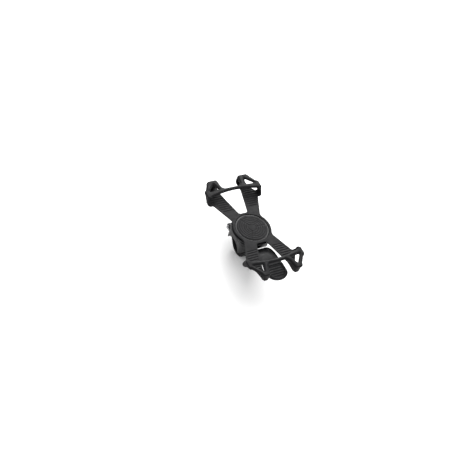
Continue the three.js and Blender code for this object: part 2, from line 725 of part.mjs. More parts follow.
// ---- Strap and pin ----

function pinCylinder(radius, fromX, toX, segments = 20) {
  const geometry = new THREE.CylinderGeometry(radius, radius, toX - fromX, segments);
  return geometry.rotateZ(Math.PI / 2).translate((fromX + toX) / 2, PIN_Y, PIN_Z);
}

function anchorPin() {
  const [grooveLow, grooveHigh] = PIN_GROOVE_X;
  const shank = toSolid(pinCylinder(PIN_RADIUS, PIN_END_X, PIN_HEAD_X + ROOT_DEPTH));
  const head = toSolid(pinCylinder(PIN_HEAD_RADIUS, PIN_HEAD_X, PIN_HEAD_X + PIN_HEAD_THICK));
  const core = toSolid(pinCylinder(PIN_GROOVE_RADIUS, PIN_END_X, 0));
  const groove = toSolid(pinCylinder(PIN_RADIUS + OVERRUN, grooveLow, grooveHigh)).subtract(core);
  return toGeometry(shank.add(head).subtract(groove));
}

// A snap ring in the pin's groove, open on one side.
function pinClip() {
  const midX = (PIN_GROOVE_X[0] + PIN_GROOVE_X[1]) / 2;
  const [lowX, highX] = [midX - CLIP_THICK / 2, midX + CLIP_THICK / 2];
  const plate = toSolid(pinCylinder(CLIP_RADIUS, lowX, highX, 24));
  const bore = toSolid(pinCylinder(CLIP_BORE_RADIUS, lowX - OVERRUN, highX + OVERRUN, SIDES.narrow));
  const mouth = toSolid(box(
    lowX - OVERRUN, highX + OVERRUN,
    PIN_Y, PIN_Y + CLIP_RADIUS + OVERRUN, PIN_Z - CLIP_MOUTH_HALF, PIN_Z + CLIP_MOUTH_HALF,
  ));
  return toGeometry(plate.subtract(bore).subtract(mouth));
}

// Where the strap leaves the bar on the pin's side: the line that touches bar and eye.
function eyeTangentAngle() {
  const reach = Math.hypot(PIN_Y, PIN_Z);
  const eyeMid = (EYE_INNER + EYE_OUTER) / 2;
  return Math.atan2(PIN_Z, PIN_Y) - Math.acos((SADDLE_RADIUS - eyeMid) / reach);
}

// The strap's middle line in (y, z): eye, round the bar, past the hook, out to the pull tab.
function strapLine() {
  const { along, leave, seat } = hookPlace();
  const angle = eyeTangentAngle();
  const normal = new THREE.Vector2(Math.cos(angle), Math.sin(angle));
  const eyeMid = (EYE_INNER + EYE_OUTER) / 2;
  const start = new THREE.Vector2(PIN_Y, PIN_Z).addScaledVector(normal, eyeMid);
  const onBar = normal.clone().multiplyScalar(SADDLE_RADIUS);
  const bend = seat.clone().addScaledVector(along, BEND_START);
  const tail = new THREE.Vector2(TAIL_START_Y, TAIL_Z);
  const path = new THREE.CurvePath();
  path.add(new THREE.LineCurve(start, onBar));
  path.add(new THREE.EllipseCurve(
    0, 0, SADDLE_RADIUS, SADDLE_RADIUS, angle, Math.PI + HOOK_LEAN - 2 * Math.PI, true,
  ));
  path.add(new THREE.LineCurve(leave, bend));
  path.add(new THREE.CubicBezierCurve(
    bend,
    bend.clone().addScaledVector(along, BEND_LEAD_IN),
    new THREE.Vector2(TAIL_START_Y + BEND_LEAD_OUT, TAIL_Z),
    tail,
  ));
  path.add(new THREE.LineCurve(tail, new THREE.Vector2(TAB_END_Y, TAIL_Z)));
  return path;
}

// Points nearer to each other than this are one point.
const SAME_POINT = 0.01;

// The closed outline of a strip of even thickness along a line.
function stripShape(line, thickness, steps) {
  const left = [];
  const right = [];
  let last = null;
  for (const curve of line.curves) {
    const parts = curve instanceof THREE.LineCurve ? 1 : steps;
    for (let i = 0; i <= parts; i += 1) {
      const point = curve.getPoint(i / parts);
      if (last && last.distanceTo(point) < SAME_POINT) continue;
      const tangent = curve.getTangent(i / parts);
      const normal = new THREE.Vector2(-tangent.y, tangent.x).multiplyScalar(thickness / 2);
      left.push(point.clone().add(normal));
      right.unshift(point.clone().sub(normal));
      last = point;
    }
  }
  return new THREE.Shape([...left, ...right]);
}

// Plan of the strap: even sides, then the wider pull tab with its elliptical end.
function strapPlan() {
  const rootY = PIN_Y + EYE_OUTER + OVERRUN;
  const roundY = TAB_END_Y + TAB_ROUND;
  const shape = new THREE.Shape();
  shape.moveTo(STRAP_HALF_WIDTH, rootY);
  shape.lineTo(-STRAP_HALF_WIDTH, rootY);
  shape.lineTo(-STRAP_HALF_WIDTH, TAB_FLARE_FROM_Y);
  shape.lineTo(-TAB_HALF_WIDTH, TAB_FLARE_TO_Y);
  shape.lineTo(-TAB_HALF_WIDTH, roundY);
  shape.absellipse(0, roundY, TAB_HALF_WIDTH, TAB_ROUND, Math.PI, 2 * Math.PI, false);
  shape.lineTo(TAB_HALF_WIDTH, TAB_FLARE_TO_Y);
  shape.lineTo(STRAP_HALF_WIDTH, TAB_FLARE_FROM_Y);
  return shape;
}

// The slots that the hook can take, along the straight run that passes the hook.
function strapSlots() {
  const { along, seat } = hookPlace();
  return SLOT_RUNS.map((run) => {
    const centre = seat.clone().addScaledVector(along, run);
    const shape = roundedRect(SLOT_HALF_X, SLOT_HALF_RUN, SLOT_CORNER);
    const slot = slab(shape, -STRAP_THICK, STRAP_THICK, 4);
    slot.applyMatrix4(new THREE.Matrix4().makeBasis(
      new THREE.Vector3(1, 0, 0),
      new THREE.Vector3(0, along.x, along.y),
      new THREE.Vector3(0, -along.y, along.x),
    ));
    return toSolid(slot.translate(0, centre.x, centre.y));
  });
}

function mountingStrap() {
  const strip = sideSlab(stripShape(strapLine(), STRAP_THICK, 16), -TAB_HALF_WIDTH, TAB_HALF_WIDTH);
  const plan = slab(strapPlan(), -SADDLE_RADIUS - STRAP_THICK, TAIL_Z + STRAP_THICK, 14);
  const trimmed = toSolid(strip).intersect(toSolid(plan));
  const eye = toSolid(pinCylinder(EYE_OUTER, -STRAP_HALF_WIDTH, STRAP_HALF_WIDTH, 24));
  const eyeBore = toSolid(pinCylinder(EYE_INNER, -TAB_HALF_WIDTH, TAB_HALF_WIDTH));
  return toGeometry(cutAll(trimmed.add(eye), [eyeBore, ...strapSlots()]));
}

// ---- Assembly ----

const mount = new THREE.Group();
const cradle = new THREE.Group();
const base = new THREE.Group();
const latch = new THREE.Group();
mount.add(cradle, base, latch);

function place(group, name, geometry, material) {
  const mesh = new THREE.Mesh(geometry, material);
  mesh.name = name;
  group.add(mesh);
  return mesh;
}

place(cradle, 'silicone_harness', harness(), silicone());
place(cradle, 'grip_pad', gripPad(), silicone());
place(cradle, 'phone_plate', phonePlate(), nylon());
place(cradle, 'rear_cover', rearCover(), nylon());
place(cradle, 'swivel_hub', swivelHub(), acetal());
screwPlaces().forEach(([x, y], i) => {
  const mesh = place(cradle, `cradle_screw_${i + 1}`, screw(CRADLE_SCREW), steel());
  mesh.rotation.x = Math.PI;
  mesh.position.set(x, y, CRADLE_SEAT_Z - REST_GAP);
});

place(base, 'base_lower', baseLower(), nylon());
place(base, 'base_upper', baseUpper(), nylon());
place(base, 'saddle_pad', saddlePad(), rubber());
place(base, 'glide_ring', glideRing(), acetal());
housingScrewPlaces().forEach(([x, y], i) => {
  const mesh = place(base, `housing_screw_${i + 1}`, screw(HOUSING_SCREW), blackScrew());
  mesh.position.set(x, y, HOUSING_SEAT_Z + REST_GAP);
});
place(base, 'anchor_pin', anchorPin(), steel());
place(base, 'pin_clip', pinClip(), steel());
place(base, 'mounting_strap', mountingStrap(), silicone());

place(latch, 'latch_plate', latchPlate(), steel());
place(latch, 'release_button', releaseButton(), buttonPlastic());
[-SPRING_Y, SPRING_Y].forEach((y, i) => {
  place(latch, `latch_spring_${i + 1}`, latchSpring(y), steel());
});

export default mount;
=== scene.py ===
"""Looks of the phone handlebar mount: a soft harness that turns on a quick-release handlebar base.

Every length below is in millimetres unless its name says otherwise; meshes are scaled to metres when
they are made. Each moulded piece is described by a distance field, negative inside, and meshed where
the field crosses zero, which gives the soft fillets and parting lines of a moulding.
"""
import math

import bpy
import numpy as np
from mathutils import Matrix, Vector


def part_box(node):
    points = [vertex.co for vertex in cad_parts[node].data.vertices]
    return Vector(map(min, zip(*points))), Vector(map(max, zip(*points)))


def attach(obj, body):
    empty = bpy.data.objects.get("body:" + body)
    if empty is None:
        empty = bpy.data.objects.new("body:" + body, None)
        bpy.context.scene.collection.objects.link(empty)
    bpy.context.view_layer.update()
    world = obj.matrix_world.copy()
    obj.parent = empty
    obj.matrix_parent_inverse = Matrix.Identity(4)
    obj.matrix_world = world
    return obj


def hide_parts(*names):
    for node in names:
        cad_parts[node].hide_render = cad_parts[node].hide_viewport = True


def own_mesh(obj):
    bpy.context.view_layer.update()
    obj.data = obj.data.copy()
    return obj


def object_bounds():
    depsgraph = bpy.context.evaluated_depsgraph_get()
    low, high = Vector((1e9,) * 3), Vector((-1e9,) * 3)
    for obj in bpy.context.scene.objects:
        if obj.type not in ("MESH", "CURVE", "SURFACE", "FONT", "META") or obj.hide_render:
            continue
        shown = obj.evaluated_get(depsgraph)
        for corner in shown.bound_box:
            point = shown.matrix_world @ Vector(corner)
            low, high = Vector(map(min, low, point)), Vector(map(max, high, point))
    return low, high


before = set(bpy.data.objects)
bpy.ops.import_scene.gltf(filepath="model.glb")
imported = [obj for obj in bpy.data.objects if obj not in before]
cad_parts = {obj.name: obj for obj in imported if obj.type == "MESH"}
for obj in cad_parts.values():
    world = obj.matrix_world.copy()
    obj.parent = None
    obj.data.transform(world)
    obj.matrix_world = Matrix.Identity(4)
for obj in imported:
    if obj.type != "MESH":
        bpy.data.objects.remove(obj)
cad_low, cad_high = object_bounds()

MM = 0.001


# ---------------------------------------------------------------- camera, light and floor

CAMERA_AT = (-428.4, -453.0, 693.3)
CAMERA_AZIMUTH = -40.6
CAMERA_ELEVATION = 47.36
CAMERA_ROLL = 18.9
CAMERA_LENS = 63.8
SENSOR_WIDTH = 36.0

SKY_STRENGTH = 1.05
# Each soft box: direction from the object, then distance and side in metres, then watts.
SOFT_BOXES = {
    "overhead": ((0.25, 0.35, 1.0), 1.10, 0.90, 5.0),
    "window": ((0.8, 1.0, 0.75), 0.80, 0.45, 7.0),
}
# In metres.
FLOOR_SIZE = 6.0
FLOOR_GAP = 0.0004


def add_camera():
    data = bpy.data.cameras.new("camera")
    data.lens = CAMERA_LENS
    data.sensor_width = SENSOR_WIDTH
    camera = bpy.data.objects.new("camera", data)
    bpy.context.scene.collection.objects.link(camera)
    turn = (
        Matrix.Rotation(math.radians(CAMERA_AZIMUTH), 4, "Z")
        @ Matrix.Rotation(math.radians(90 - CAMERA_ELEVATION), 4, "X")
        @ Matrix.Rotation(math.radians(CAMERA_ROLL), 4, "Z")
    )
    camera.matrix_world = Matrix.Translation(Vector(CAMERA_AT) * MM) @ turn
    bpy.context.scene.camera = camera


def add_light(name, direction, distance, size, watts):
    """A square soft box that shines at the middle of the object."""
    data = bpy.data.lights.new(name, "AREA")
    data.energy = watts
    data.size = size
    light = bpy.data.objects.new(name, data)
    bpy.context.scene.collection.objects.link(light)
    towards = Vector(direction).normalized()
    light.location = towards * distance
    light.rotation_mode = "QUATERNION"
    light.rotation_quaternion = towards.to_track_quat("Z", "Y")


def add_studio():
    world = bpy.data.worlds.new("studio")
    bpy.context.scene.world = world
    world.use_nodes = True
    sky = world.node_tree.nodes["Background"]
    sky.inputs["Color"].default_value = (1.0, 1.0, 1.0, 1.0)
    sky.inputs["Strength"].default_value = SKY_STRENGTH
    for name, soft_box in SOFT_BOXES.items():
        add_light(name, *soft_box)
    bpy.context.scene.view_settings.view_transform = "Standard"

    bpy.ops.mesh.primitive_plane_add(size=FLOOR_SIZE, location=(0, 0, cad_low.z - FLOOR_GAP))
    floor = bpy.context.object
    floor.name = "floor"
    floor.data.materials.append(floor_material())


# ---------------------------------------------------------------- materials

# How much lighter the painted highlight on outer edges and ridges is than the rest of a moulding.
EDGE_HIGHLIGHT_GAIN = 3.0


def new_material(name, colour, roughness, metallic=0.0, specular=0.5):
    material = bpy.data.materials.new(name)
    material.use_nodes = True
    shader = material.node_tree.nodes["Principled BSDF"]
    shader.inputs["Base Color"].default_value = (*colour, 1.0)
    shader.inputs["Roughness"].default_value = roughness
    shader.inputs["Metallic"].default_value = metallic
    shader.inputs["Specular IOR Level"].default_value = specular
    return material, material.node_tree, shader


def noise(tree, scale, detail=3.0, stretch=(1.0, 1.0, 1.0)):
    """Noise in the piece's own metres, so its grain has a real size."""
    place = tree.nodes.new("ShaderNodeTexCoord")
    mapping = tree.nodes.new("ShaderNodeMapping")
    mapping.inputs["Scale"].default_value = stretch
    grain = tree.nodes.new("ShaderNodeTexNoise")
    grain.inputs["Scale"].default_value = scale
    grain.inputs["Detail"].default_value = detail
    tree.links.new(place.outputs["Object"], mapping.inputs["Vector"])
    tree.links.new(mapping.outputs["Vector"], grain.inputs["Vector"])
    return grain.outputs["Fac"]


def remap(tree, value, low, high, from_low=0.3, from_high=0.7):
    ranger = tree.nodes.new("ShaderNodeMapRange")
    ranger.inputs["From Min"].default_value = from_low
    ranger.inputs["From Max"].default_value = from_high
    ranger.inputs["To Min"].default_value = low
    ranger.inputs["To Max"].default_value = high
    tree.links.new(value, ranger.inputs["Value"])
    return ranger.outputs["Result"]


def tint(tree, value, dark, light):
    mix = tree.nodes.new("ShaderNodeMix")
    mix.data_type = "RGBA"
    mix.inputs["A"].default_value = (*dark, 1.0)
    mix.inputs["B"].default_value = (*light, 1.0)
    tree.links.new(value, mix.inputs["Factor"])
    return mix.outputs["Result"]


def bump(tree, shader, height, strength, distance):
    """distance is in metres: the real depth of the grain."""
    node = tree.nodes.new("ShaderNodeBump")
    node.inputs["Strength"].default_value = strength
    node.inputs["Distance"].default_value = distance
    tree.links.new(height, node.inputs["Height"])
    tree.links.new(node.outputs["Normal"], shader.inputs["Normal"])


def painted_edge_highlight(tree, colour, edge_highlight_colour):
    """Mixes a lighter colour into outer edges and ridges as a painted highlight, more in some places
    than others.
    """
    geometry = tree.nodes.new("ShaderNodeNewGeometry")
    edge = remap(tree, geometry.outputs["Pointiness"], 0.0, 1.0, 0.51, 0.58)
    patches = remap(tree, noise(tree, 140.0, 3.0), 0.25, 1.0)
    amount = tree.nodes.new("ShaderNodeMath")
    amount.operation = "MULTIPLY"
    tree.links.new(edge, amount.inputs[0])
    tree.links.new(patches, amount.inputs[1])
    mix = tree.nodes.new("ShaderNodeMix")
    mix.data_type = "RGBA"
    mix.inputs["B"].default_value = (*edge_highlight_colour, 1.0)
    tree.links.new(amount.outputs["Value"], mix.inputs["Factor"])
    tree.links.new(colour, mix.inputs["A"])
    return mix.outputs["Result"]


def moulded(name, dark, light, roughness, grain_scale, grain_depth, specular=0.5):
    """A moulded plastic or rubber: fine grain, slow colour drift, and a painted highlight on edges,
    broken into patches.
    """
    material, tree, shader = new_material(name, light, roughness[1], specular=specular)
    drift = remap(tree, noise(tree, 90.0, 4.0), 0.0, 1.0)
    # Colour of the painted highlight on edges: a few times lighter than the light tone.
    edge_highlight_colour = [value * EDGE_HIGHLIGHT_GAIN for value in light]
    colour = painted_edge_highlight(tree, tint(tree, drift, dark, light), edge_highlight_colour)
    tree.links.new(colour, shader.inputs["Base Color"])
    handled = remap(tree, noise(tree, 210.0, 5.0), roughness[0], roughness[1])
    tree.links.new(handled, shader.inputs["Roughness"])
    bump(tree, shader, noise(tree, grain_scale, 2.0), 0.6, grain_depth)
    return material


def silicone_material():
    return moulded(
        "silicone", (0.0035, 0.0035, 0.004), (0.007, 0.007, 0.0078), (0.46, 0.62), 2600.0, 0.00004,
        specular=0.10,
    )


def nylon_material():
    return moulded(
        "nylon", (0.007, 0.007, 0.0075), (0.013, 0.013, 0.014), (0.34, 0.50), 3800.0, 0.00005,
        specular=0.26,
    )


def button_material():
    return moulded(
        "button", (0.034, 0.035, 0.037), (0.050, 0.051, 0.054), (0.32, 0.44), 3800.0, 0.00003,
    )


def pad_material():
    return moulded(
        "pad_rubber", (0.008, 0.008, 0.008), (0.018, 0.017, 0.016), (0.70, 0.88), 2200.0, 0.00007, 0.3,
    )


def acetal_material():
    return moulded(
        "acetal", (0.60, 0.60, 0.56), (0.70, 0.70, 0.67), (0.24, 0.36), 900.0, 0.00001,
    )


def metal(name, dark, light, roughness, stretch):
    material, tree, shader = new_material(name, light, roughness[1], metallic=1.0)
    brushed = noise(tree, 900.0, 4.0, stretch)
    tree.links.new(
        tint(tree, remap(tree, brushed, 0.0, 1.0), dark, light), shader.inputs["Base Color"],
    )
    tree.links.new(remap(tree, brushed, *roughness), shader.inputs["Roughness"])
    bump(tree, shader, brushed, 0.35, 0.00001)
    return material


def steel_material():
    return metal("steel", (0.33, 0.33, 0.34), (0.50, 0.50, 0.51), (0.26, 0.42), (0.08, 1.0, 1.0))


def black_steel_material():
    return metal(
        "black_steel", (0.020, 0.020, 0.022), (0.055, 0.055, 0.060), (0.30, 0.48), (1.0, 1.0, 1.0),
    )


def floor_material():
    material, tree, shader = new_material("floor_paper", (0.96, 0.96, 0.96), 0.9, specular=0.1)
    shade = remap(tree, noise(tree, 30.0), 0.0, 1.0)
    tree.links.new(
        tint(tree, shade, (0.955, 0.955, 0.955), (0.965, 0.965, 0.965)), shader.inputs["Base Color"],
    )
    return material


MATERIALS = {
    "silicone": silicone_material,
    "nylon": nylon_material,
    "button": button_material,
    "pad_rubber": pad_material,
    "acetal": acetal_material,
    "steel": steel_material,
    "black_steel": black_steel_material,
}
made_materials = {}


def material_for(slot):
    if slot not in made_materials:
        made_materials[slot] = MATERIALS[slot]()
    return made_materials[slot]


# ---------------------------------------------------------------- distance fields

def both(a, b, fillet=0.0):
    """Where a and b overlap; the edge between them gets a round of this radius."""
    if fillet == 0.0:
        return np.maximum(a, b)
    outside = np.hypot(np.maximum(a + fillet, 0.0), np.maximum(b + fillet, 0.0))
    return np.minimum(np.maximum(a, b), -fillet) + outside


def either(a, b, fillet=0.0):
    """a and b joined; the inside corner between them gets a round of this radius."""
    return -both(-a, -b, fillet)


def without(a, tool, fillet=0.0):
    return both(a, -tool, fillet)


def between(value, low, high):
    return np.maximum(low - value, value - high)


def box_field(x, y, z, low, high, fillet=0.0):
    centre = [(a + b) / 2 for a, b in zip(low, high)]
    half = [(b - a) / 2 - fillet for a, b in zip(low, high)]
    away = [np.abs(v - c) - h for v, c, h in zip((x, y, z), centre, half)]
    outside = np.sqrt(sum(np.maximum(a, 0.0) ** 2 for a in away))
    inside = np.minimum(np.maximum(np.maximum(away[0], away[1]), away[2]), 0.0)
    return outside + inside - fillet


def plan_field(x, y, half_x, half_y, corner):
    """A rounded rectangle about the origin, in two dimensions."""
    away_x = np.abs(x) - (half_x - corner)
    away_y = np.abs(y) - (half_y - corner)
    outside = np.hypot(np.maximum(away_x, 0.0), np.maximum(away_y, 0.0))
    return outside + np.minimum(np.maximum(away_x, away_y), 0.0) - corner


def polygon_field(x, y, points):
    """Signed distance to a closed outline, in two dimensions."""
    nearest = np.full(np.broadcast_shapes(x.shape, y.shape), 1e9)
    inside = np.zeros(nearest.shape, bool)
    for (ax, ay), (bx, by) in zip(points, points[1:] + points[:1]):
        ex, ey = bx - ax, by - ay
        along = np.clip(((x - ax) * ex + (y - ay) * ey) / (ex * ex + ey * ey), 0.0, 1.0)
        nearest = np.minimum(nearest, np.hypot(x - ax - along * ex, y - ay - along * ey))
        if ey:
            crosses = ((ay > y) != (by > y)) & (x < ax + (y - ay) * ex / ey)
            inside ^= crosses
    return np.where(inside, -nearest, nearest)


def soften(field, passes):
    """Eases the corners of a two-dimensional field that varies along its first two axes."""
    for _ in range(passes):
        for axis in (0, 1):
            field = (np.roll(field, 1, axis) + np.roll(field, -1, axis)) * 0.25 + field * 0.5
    return field


def ridges(value, pitch, half_width, flat=0.0):
    """A row of soft ridges: 1 on each crest, halfway through each pitch, and 0 between them."""
    return np.clip(1.0 + flat - np.abs(value % pitch - pitch / 2) / half_width, 0.0, 1.0)


def near_any(x, y, places):
    return np.minimum.reduce([np.hypot(x - px, y - py) for px, py in places])


def screw_places(circle):
    return [
        (circle * math.cos(math.radians(a)), circle * math.sin(math.radians(a)))
        for a in (45, 135, 225, 315)
    ]


# ---------------------------------------------------------------- shared dimensions

GAP = 0.3
REST_GAP = 0.1
PHONE_BACK = 28.0
CRADLE_SCREW_CIRCLE = 17.0
BOSS_RADIUS = 2.6
SCREW_BORE_RADIUS = 1.4
SCREW_RECESS_RADIUS = 2.6
BAR_LOOP_RADIUS = 12.9
PIN_Y, PIN_Z = 21.2, 9.5
EAR_INNER_X, EAR_OUTER_X = 12.6, 16.2
HOOK_LEAN = math.radians(30)
HOOK_RUN = 16.0
COVER_LOW, COVER_TOP = 21.8, 24.6
PLATE_LOW, PLATE_TOP = 26.2, 27.3
HUB_NECK_RADIUS = 7.8
HUB_FLANGE_RADIUS = 12.8
HUB_KEYS = [(-12.0, 0.0), (12.0, 0.0)]
LID_LOW, LID_TOP = 18.9, 21.4
LATCH_LOW, LATCH_TOP = 16.6, 18.2


# ---------------------------------------------------------------- meshing

CUBE = [(i, j, k) for i in (0, 1) for j in (0, 1) for k in (0, 1)]
MARGIN_CELLS = 2.5


def surface_points(field, cells):
    """For each cell that the surface passes through, the mean of where it cuts the cell's edges."""
    total = np.zeros(cells.shape)
    count = np.zeros(len(cells))
    for corner in CUBE:
        for axis in range(3):
            if corner[axis]:
                continue
            step = np.eye(3, dtype=int)[axis]
            start = cells + corner
            a = field[tuple(start.T)]
            b = field[tuple((start + step).T)]
            cut = (a < 0) != (b < 0)
            share = a[cut] / (a[cut] - b[cut])
            total[cut] += start[cut] + share[:, None] * step
            count[cut] += 1
    return total / count[:, None]


def surface_quads(inside, index):
    """One quad round each grid edge that crosses the surface, facing out."""
    quads = []
    for axis in range(3):
        u, v = np.eye(3, dtype=int)[(axis + 1) % 3], np.eye(3, dtype=int)[(axis + 2) % 3]
        first = np.take(inside, range(inside.shape[axis] - 1), axis)
        second = np.take(inside, range(1, inside.shape[axis]), axis)
        for leaving in (True, False):
            at = np.argwhere((first & ~second) if leaving else (~first & second))
            ring = [at, at - u, at - u - v, at - v]
            if not leaving:
                ring.reverse()
            quads.append(np.stack([index[tuple(cell.T)] for cell in ring], axis=1))
    return np.concatenate(quads)


def mesh_field(name, distance, low, high, cell):
    """A closed mesh where distance(x, y, z) crosses zero, inside the given corners."""
    margin = MARGIN_CELLS * cell
    axes = [np.arange(lo - margin, hi + margin + cell, cell) for lo, hi in zip(low, high)]
    x, y, z = np.ix_(*axes)
    field = np.broadcast_to(distance(x, y, z), [len(a) for a in axes]).astype(np.float32)
    inside = field < 0
    spans = (slice(None, -1), slice(1, None))
    filled = sum(
        inside[spans[i], spans[j], spans[k]].astype(np.int8) for i, j, k in CUBE
    )
    cells = np.argwhere((filled > 0) & (filled < 8))
    index = np.full(filled.shape, -1)
    index[tuple(cells.T)] = np.arange(len(cells))
    origin = np.array([a[0] for a in axes])
    points = (surface_points(field, cells) * cell + origin) * MM
    return new_piece(name, points, surface_quads(inside, index))


def new_piece(name, points, faces):
    mesh = bpy.data.meshes.new(name)
    mesh.from_pydata(points.tolist(), [], faces.tolist())
    mesh.validate()
    mesh.shade_smooth()
    piece = bpy.data.objects.new(name, mesh)
    bpy.context.scene.collection.objects.link(piece)
    return piece


def node_box(node):
    low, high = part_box(node)
    return np.array(low) / MM, np.array(high) / MM


def stand_for(node, piece, body, slot):
    """Finishes a piece that replaces a CAD node."""
    piece.data.materials.append(material_for(slot))
    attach(piece, body)
    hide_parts(node)
    return piece


def mould(node, distance, cell, body, slot, grow=0.3):
    low, high = node_box(node)
    piece = mesh_field("visual_" + node, distance, low - grow, high + grow, cell)
    return stand_for(node, piece, body, slot)


# ---------------------------------------------------------------- silicone harness

PHONE_HALF_WIDTH = 33.55
PHONE_HALF_LENGTH = 69.2
PHONE_CORNER = 9.5
PHONE_FACE = 35.1
PHONE_EDGE_ROUND = 2.4
FRONT_ROUND = 1.3
BACK_ROUND = 3.0
SKIN_EDGE = 1.35
SKIN_CROWN = 2.4
BACK_CROWN = 2.55
RIM_RADIUS = 23.0
FLANGE_RADIUS = 21.4
RECESS_RADIUS = 20.1
HUB_HOLE_RADIUS = HUB_FLANGE_RADIUS + 0.5
FLANGE_LOW, FLANGE_TOP = 24.9, 26.1
EASE_PASSES = 8
MASK_SLOPE = 3.0
MASK_LAP = 0.3
HARNESS_CELL = 0.34

# Grip grooves: spacing, depth, where they run along an arm, and how far they stay from its sides.
GROOVE_PITCH = 3.2
GROOVE_DEPTH = 0.4
GROOVE_RUN = (30.0, 56.0)
GROOVE_INSET = 2.2

# A band is furthest out in the middle and drops towards its ends.
BAND_MIDDLE = 52.6
BAND_DROP = 4.2
BAND_HALF_RUN = 30
BAND_OUTER = 57.3

# Half of each end of the harness, as (x, distance from the middle). The tabs lean: behind the phone
# they run between nearer lines than on its face.
TOP_END = {
    "sign": 1, "lobe_inner": 13.4, "lobe_outer": 25.4, "window_half": 12.0,
    "tab_front": (46.5, 58.6), "tab_back": (42.0, 51.0),
    "strut_edge": [(33.6, 59.6), (29.0, 67.2)],
    "window": [(17.4, 57.2), (30.4, 56.3), (20.4, 66.4)],
}
BOTTOM_END = {
    "sign": -1, "lobe_inner": 16.2, "lobe_outer": 23.8, "window_half": 13.2,
    "tab_front": (45.0, 56.5), "tab_back": (42.0, 48.0),
    "strut_edge": [(33.2, 58.4), (26.8, 67.2)],
    "window": [(17.8, 55.8), (30.4, 54.6), (21.8, 65.8)],
}
BEYOND = 8.0
OUT_X = PHONE_HALF_WIDTH + BEYOND
OUT_Y = PHONE_HALF_LENGTH + BEYOND
LOBE_ROOT = 66.0
LOBE_FACE_ROOT = 69.4
LEG_EDGE_X = 33.2
LEG_HIP_Y = 60.4
TAB_ROOT_X = 31.0
ARM_ROOT = [(2.0, 8.0), (14.0, 4.0)]
ARM_FORK_X = 30.0
ARM_OUTER_Y = 58.0
ARM_INNER_Y = 56.0


def band_edge(x):
    """The screen side of a band: a shallow arch, furthest out in the middle."""
    return BAND_MIDDLE - BAND_DROP * (x / BAND_HALF_RUN) ** 2


def front_region(x, y, end):
    """Band, two legs, two struts and two tabs of one end, seen from the rider."""
    tab_near, tab_far = end["tab_front"]
    right = [
        (LEG_EDGE_X, tab_near + 0.6), (OUT_X, tab_near), (OUT_X, tab_far), *end["strut_edge"],
        (end["lobe_outer"], OUT_Y), (end["lobe_inner"], OUT_Y), (end["lobe_inner"], LOBE_FACE_ROOT),
        (end["window_half"] + 0.6, LEG_HIP_Y), (end["window_half"] - 2.4, BAND_OUTER),
    ]
    arch = [(x_at, band_edge(x_at)) for x_at in range(BAND_HALF_RUN, -BAND_HALF_RUN - 1, -5)]
    outline = arch + [(-px, py) for px, py in right] + right[::-1]
    region = polygon_field(x, y * end["sign"], outline)
    return without(region, polygon_field(np.abs(x), y * end["sign"], end["window"]))


def back_region(x, y, end):
    """The two arms of one end, from the middle out to a tab and a lobe each."""
    tab_near, tab_far = end["tab_back"]
    arm = [
        *ARM_ROOT, (ARM_FORK_X, tab_near), (OUT_X, tab_near), (OUT_X, tab_far),
        (TAB_ROOT_X, tab_far + 0.8), (end["lobe_outer"] + 1.5, ARM_OUTER_Y),
        (end["lobe_outer"], LOBE_ROOT), (end["lobe_outer"], OUT_Y), (end["lobe_inner"], OUT_Y),
        (end["lobe_inner"], ARM_INNER_Y),
    ]
    return polygon_field(np.abs(x), y * end["sign"], arm)


def side_region(x, y, z, end):
    """Where a tab passes round the phone's long side, and a lobe round its short side."""
    out = y * end["sign"]
    rise = np.clip((z - PHONE_BACK) / (PHONE_FACE - PHONE_BACK), 0.0, 1.0)
    near, far = (
        back + (front - back) * rise for front, back in zip(end["tab_front"], end["tab_back"])
    )
    tab = both(between(out, near, far) * 0.8, TAB_ROOT_X - np.abs(x), 0.8)
    lobe = both(between(np.abs(x), end["lobe_inner"], end["lobe_outer"]), LOBE_ROOT - out, 0.8)
    return np.minimum(tab, lobe)


def ridged(depth, crown, slope=0.55):
    """Skin thickness: thin at an edge, rising on a flat bevel to a flat crown."""
    return np.minimum(SKIN_EDGE + np.maximum(depth, 0.0) * slope, crown)


def phone_field(x, y, z):
    """The phone that the harness is stretched over, with its own rounded edges."""
    plan = plan_field(x, y, PHONE_HALF_WIDTH, PHONE_HALF_LENGTH, PHONE_CORNER)
    return both(plan, between(z, PHONE_BACK, PHONE_FACE), PHONE_EDGE_ROUND)


def skin_field(x, y, z, depth):
    """A skin over the phone that is thicker the deeper a point lies inside the net's outline."""
    plan = plan_field(x, y, PHONE_HALF_WIDTH, PHONE_HALF_LENGTH, PHONE_CORNER)
    front = ridged(depth, SKIN_CROWN)
    back = ridged(depth, BACK_CROWN)
    outer = both(plan - back, z - PHONE_FACE - front, FRONT_ROUND)
    return both(outer, PHONE_BACK - z - back, BACK_ROUND)


def grip_grooves(y, back):
    """Shallow grooves across the arms, where the phone's back rests on them."""
    on_arm = (between(np.abs(y), *GROOVE_RUN) < 0.0) & (back < -GROOVE_INSET)
    return np.where(on_arm, GROOVE_DEPTH * ridges(np.abs(y), GROOVE_PITCH, 0.6, flat=0.7), 0.0)


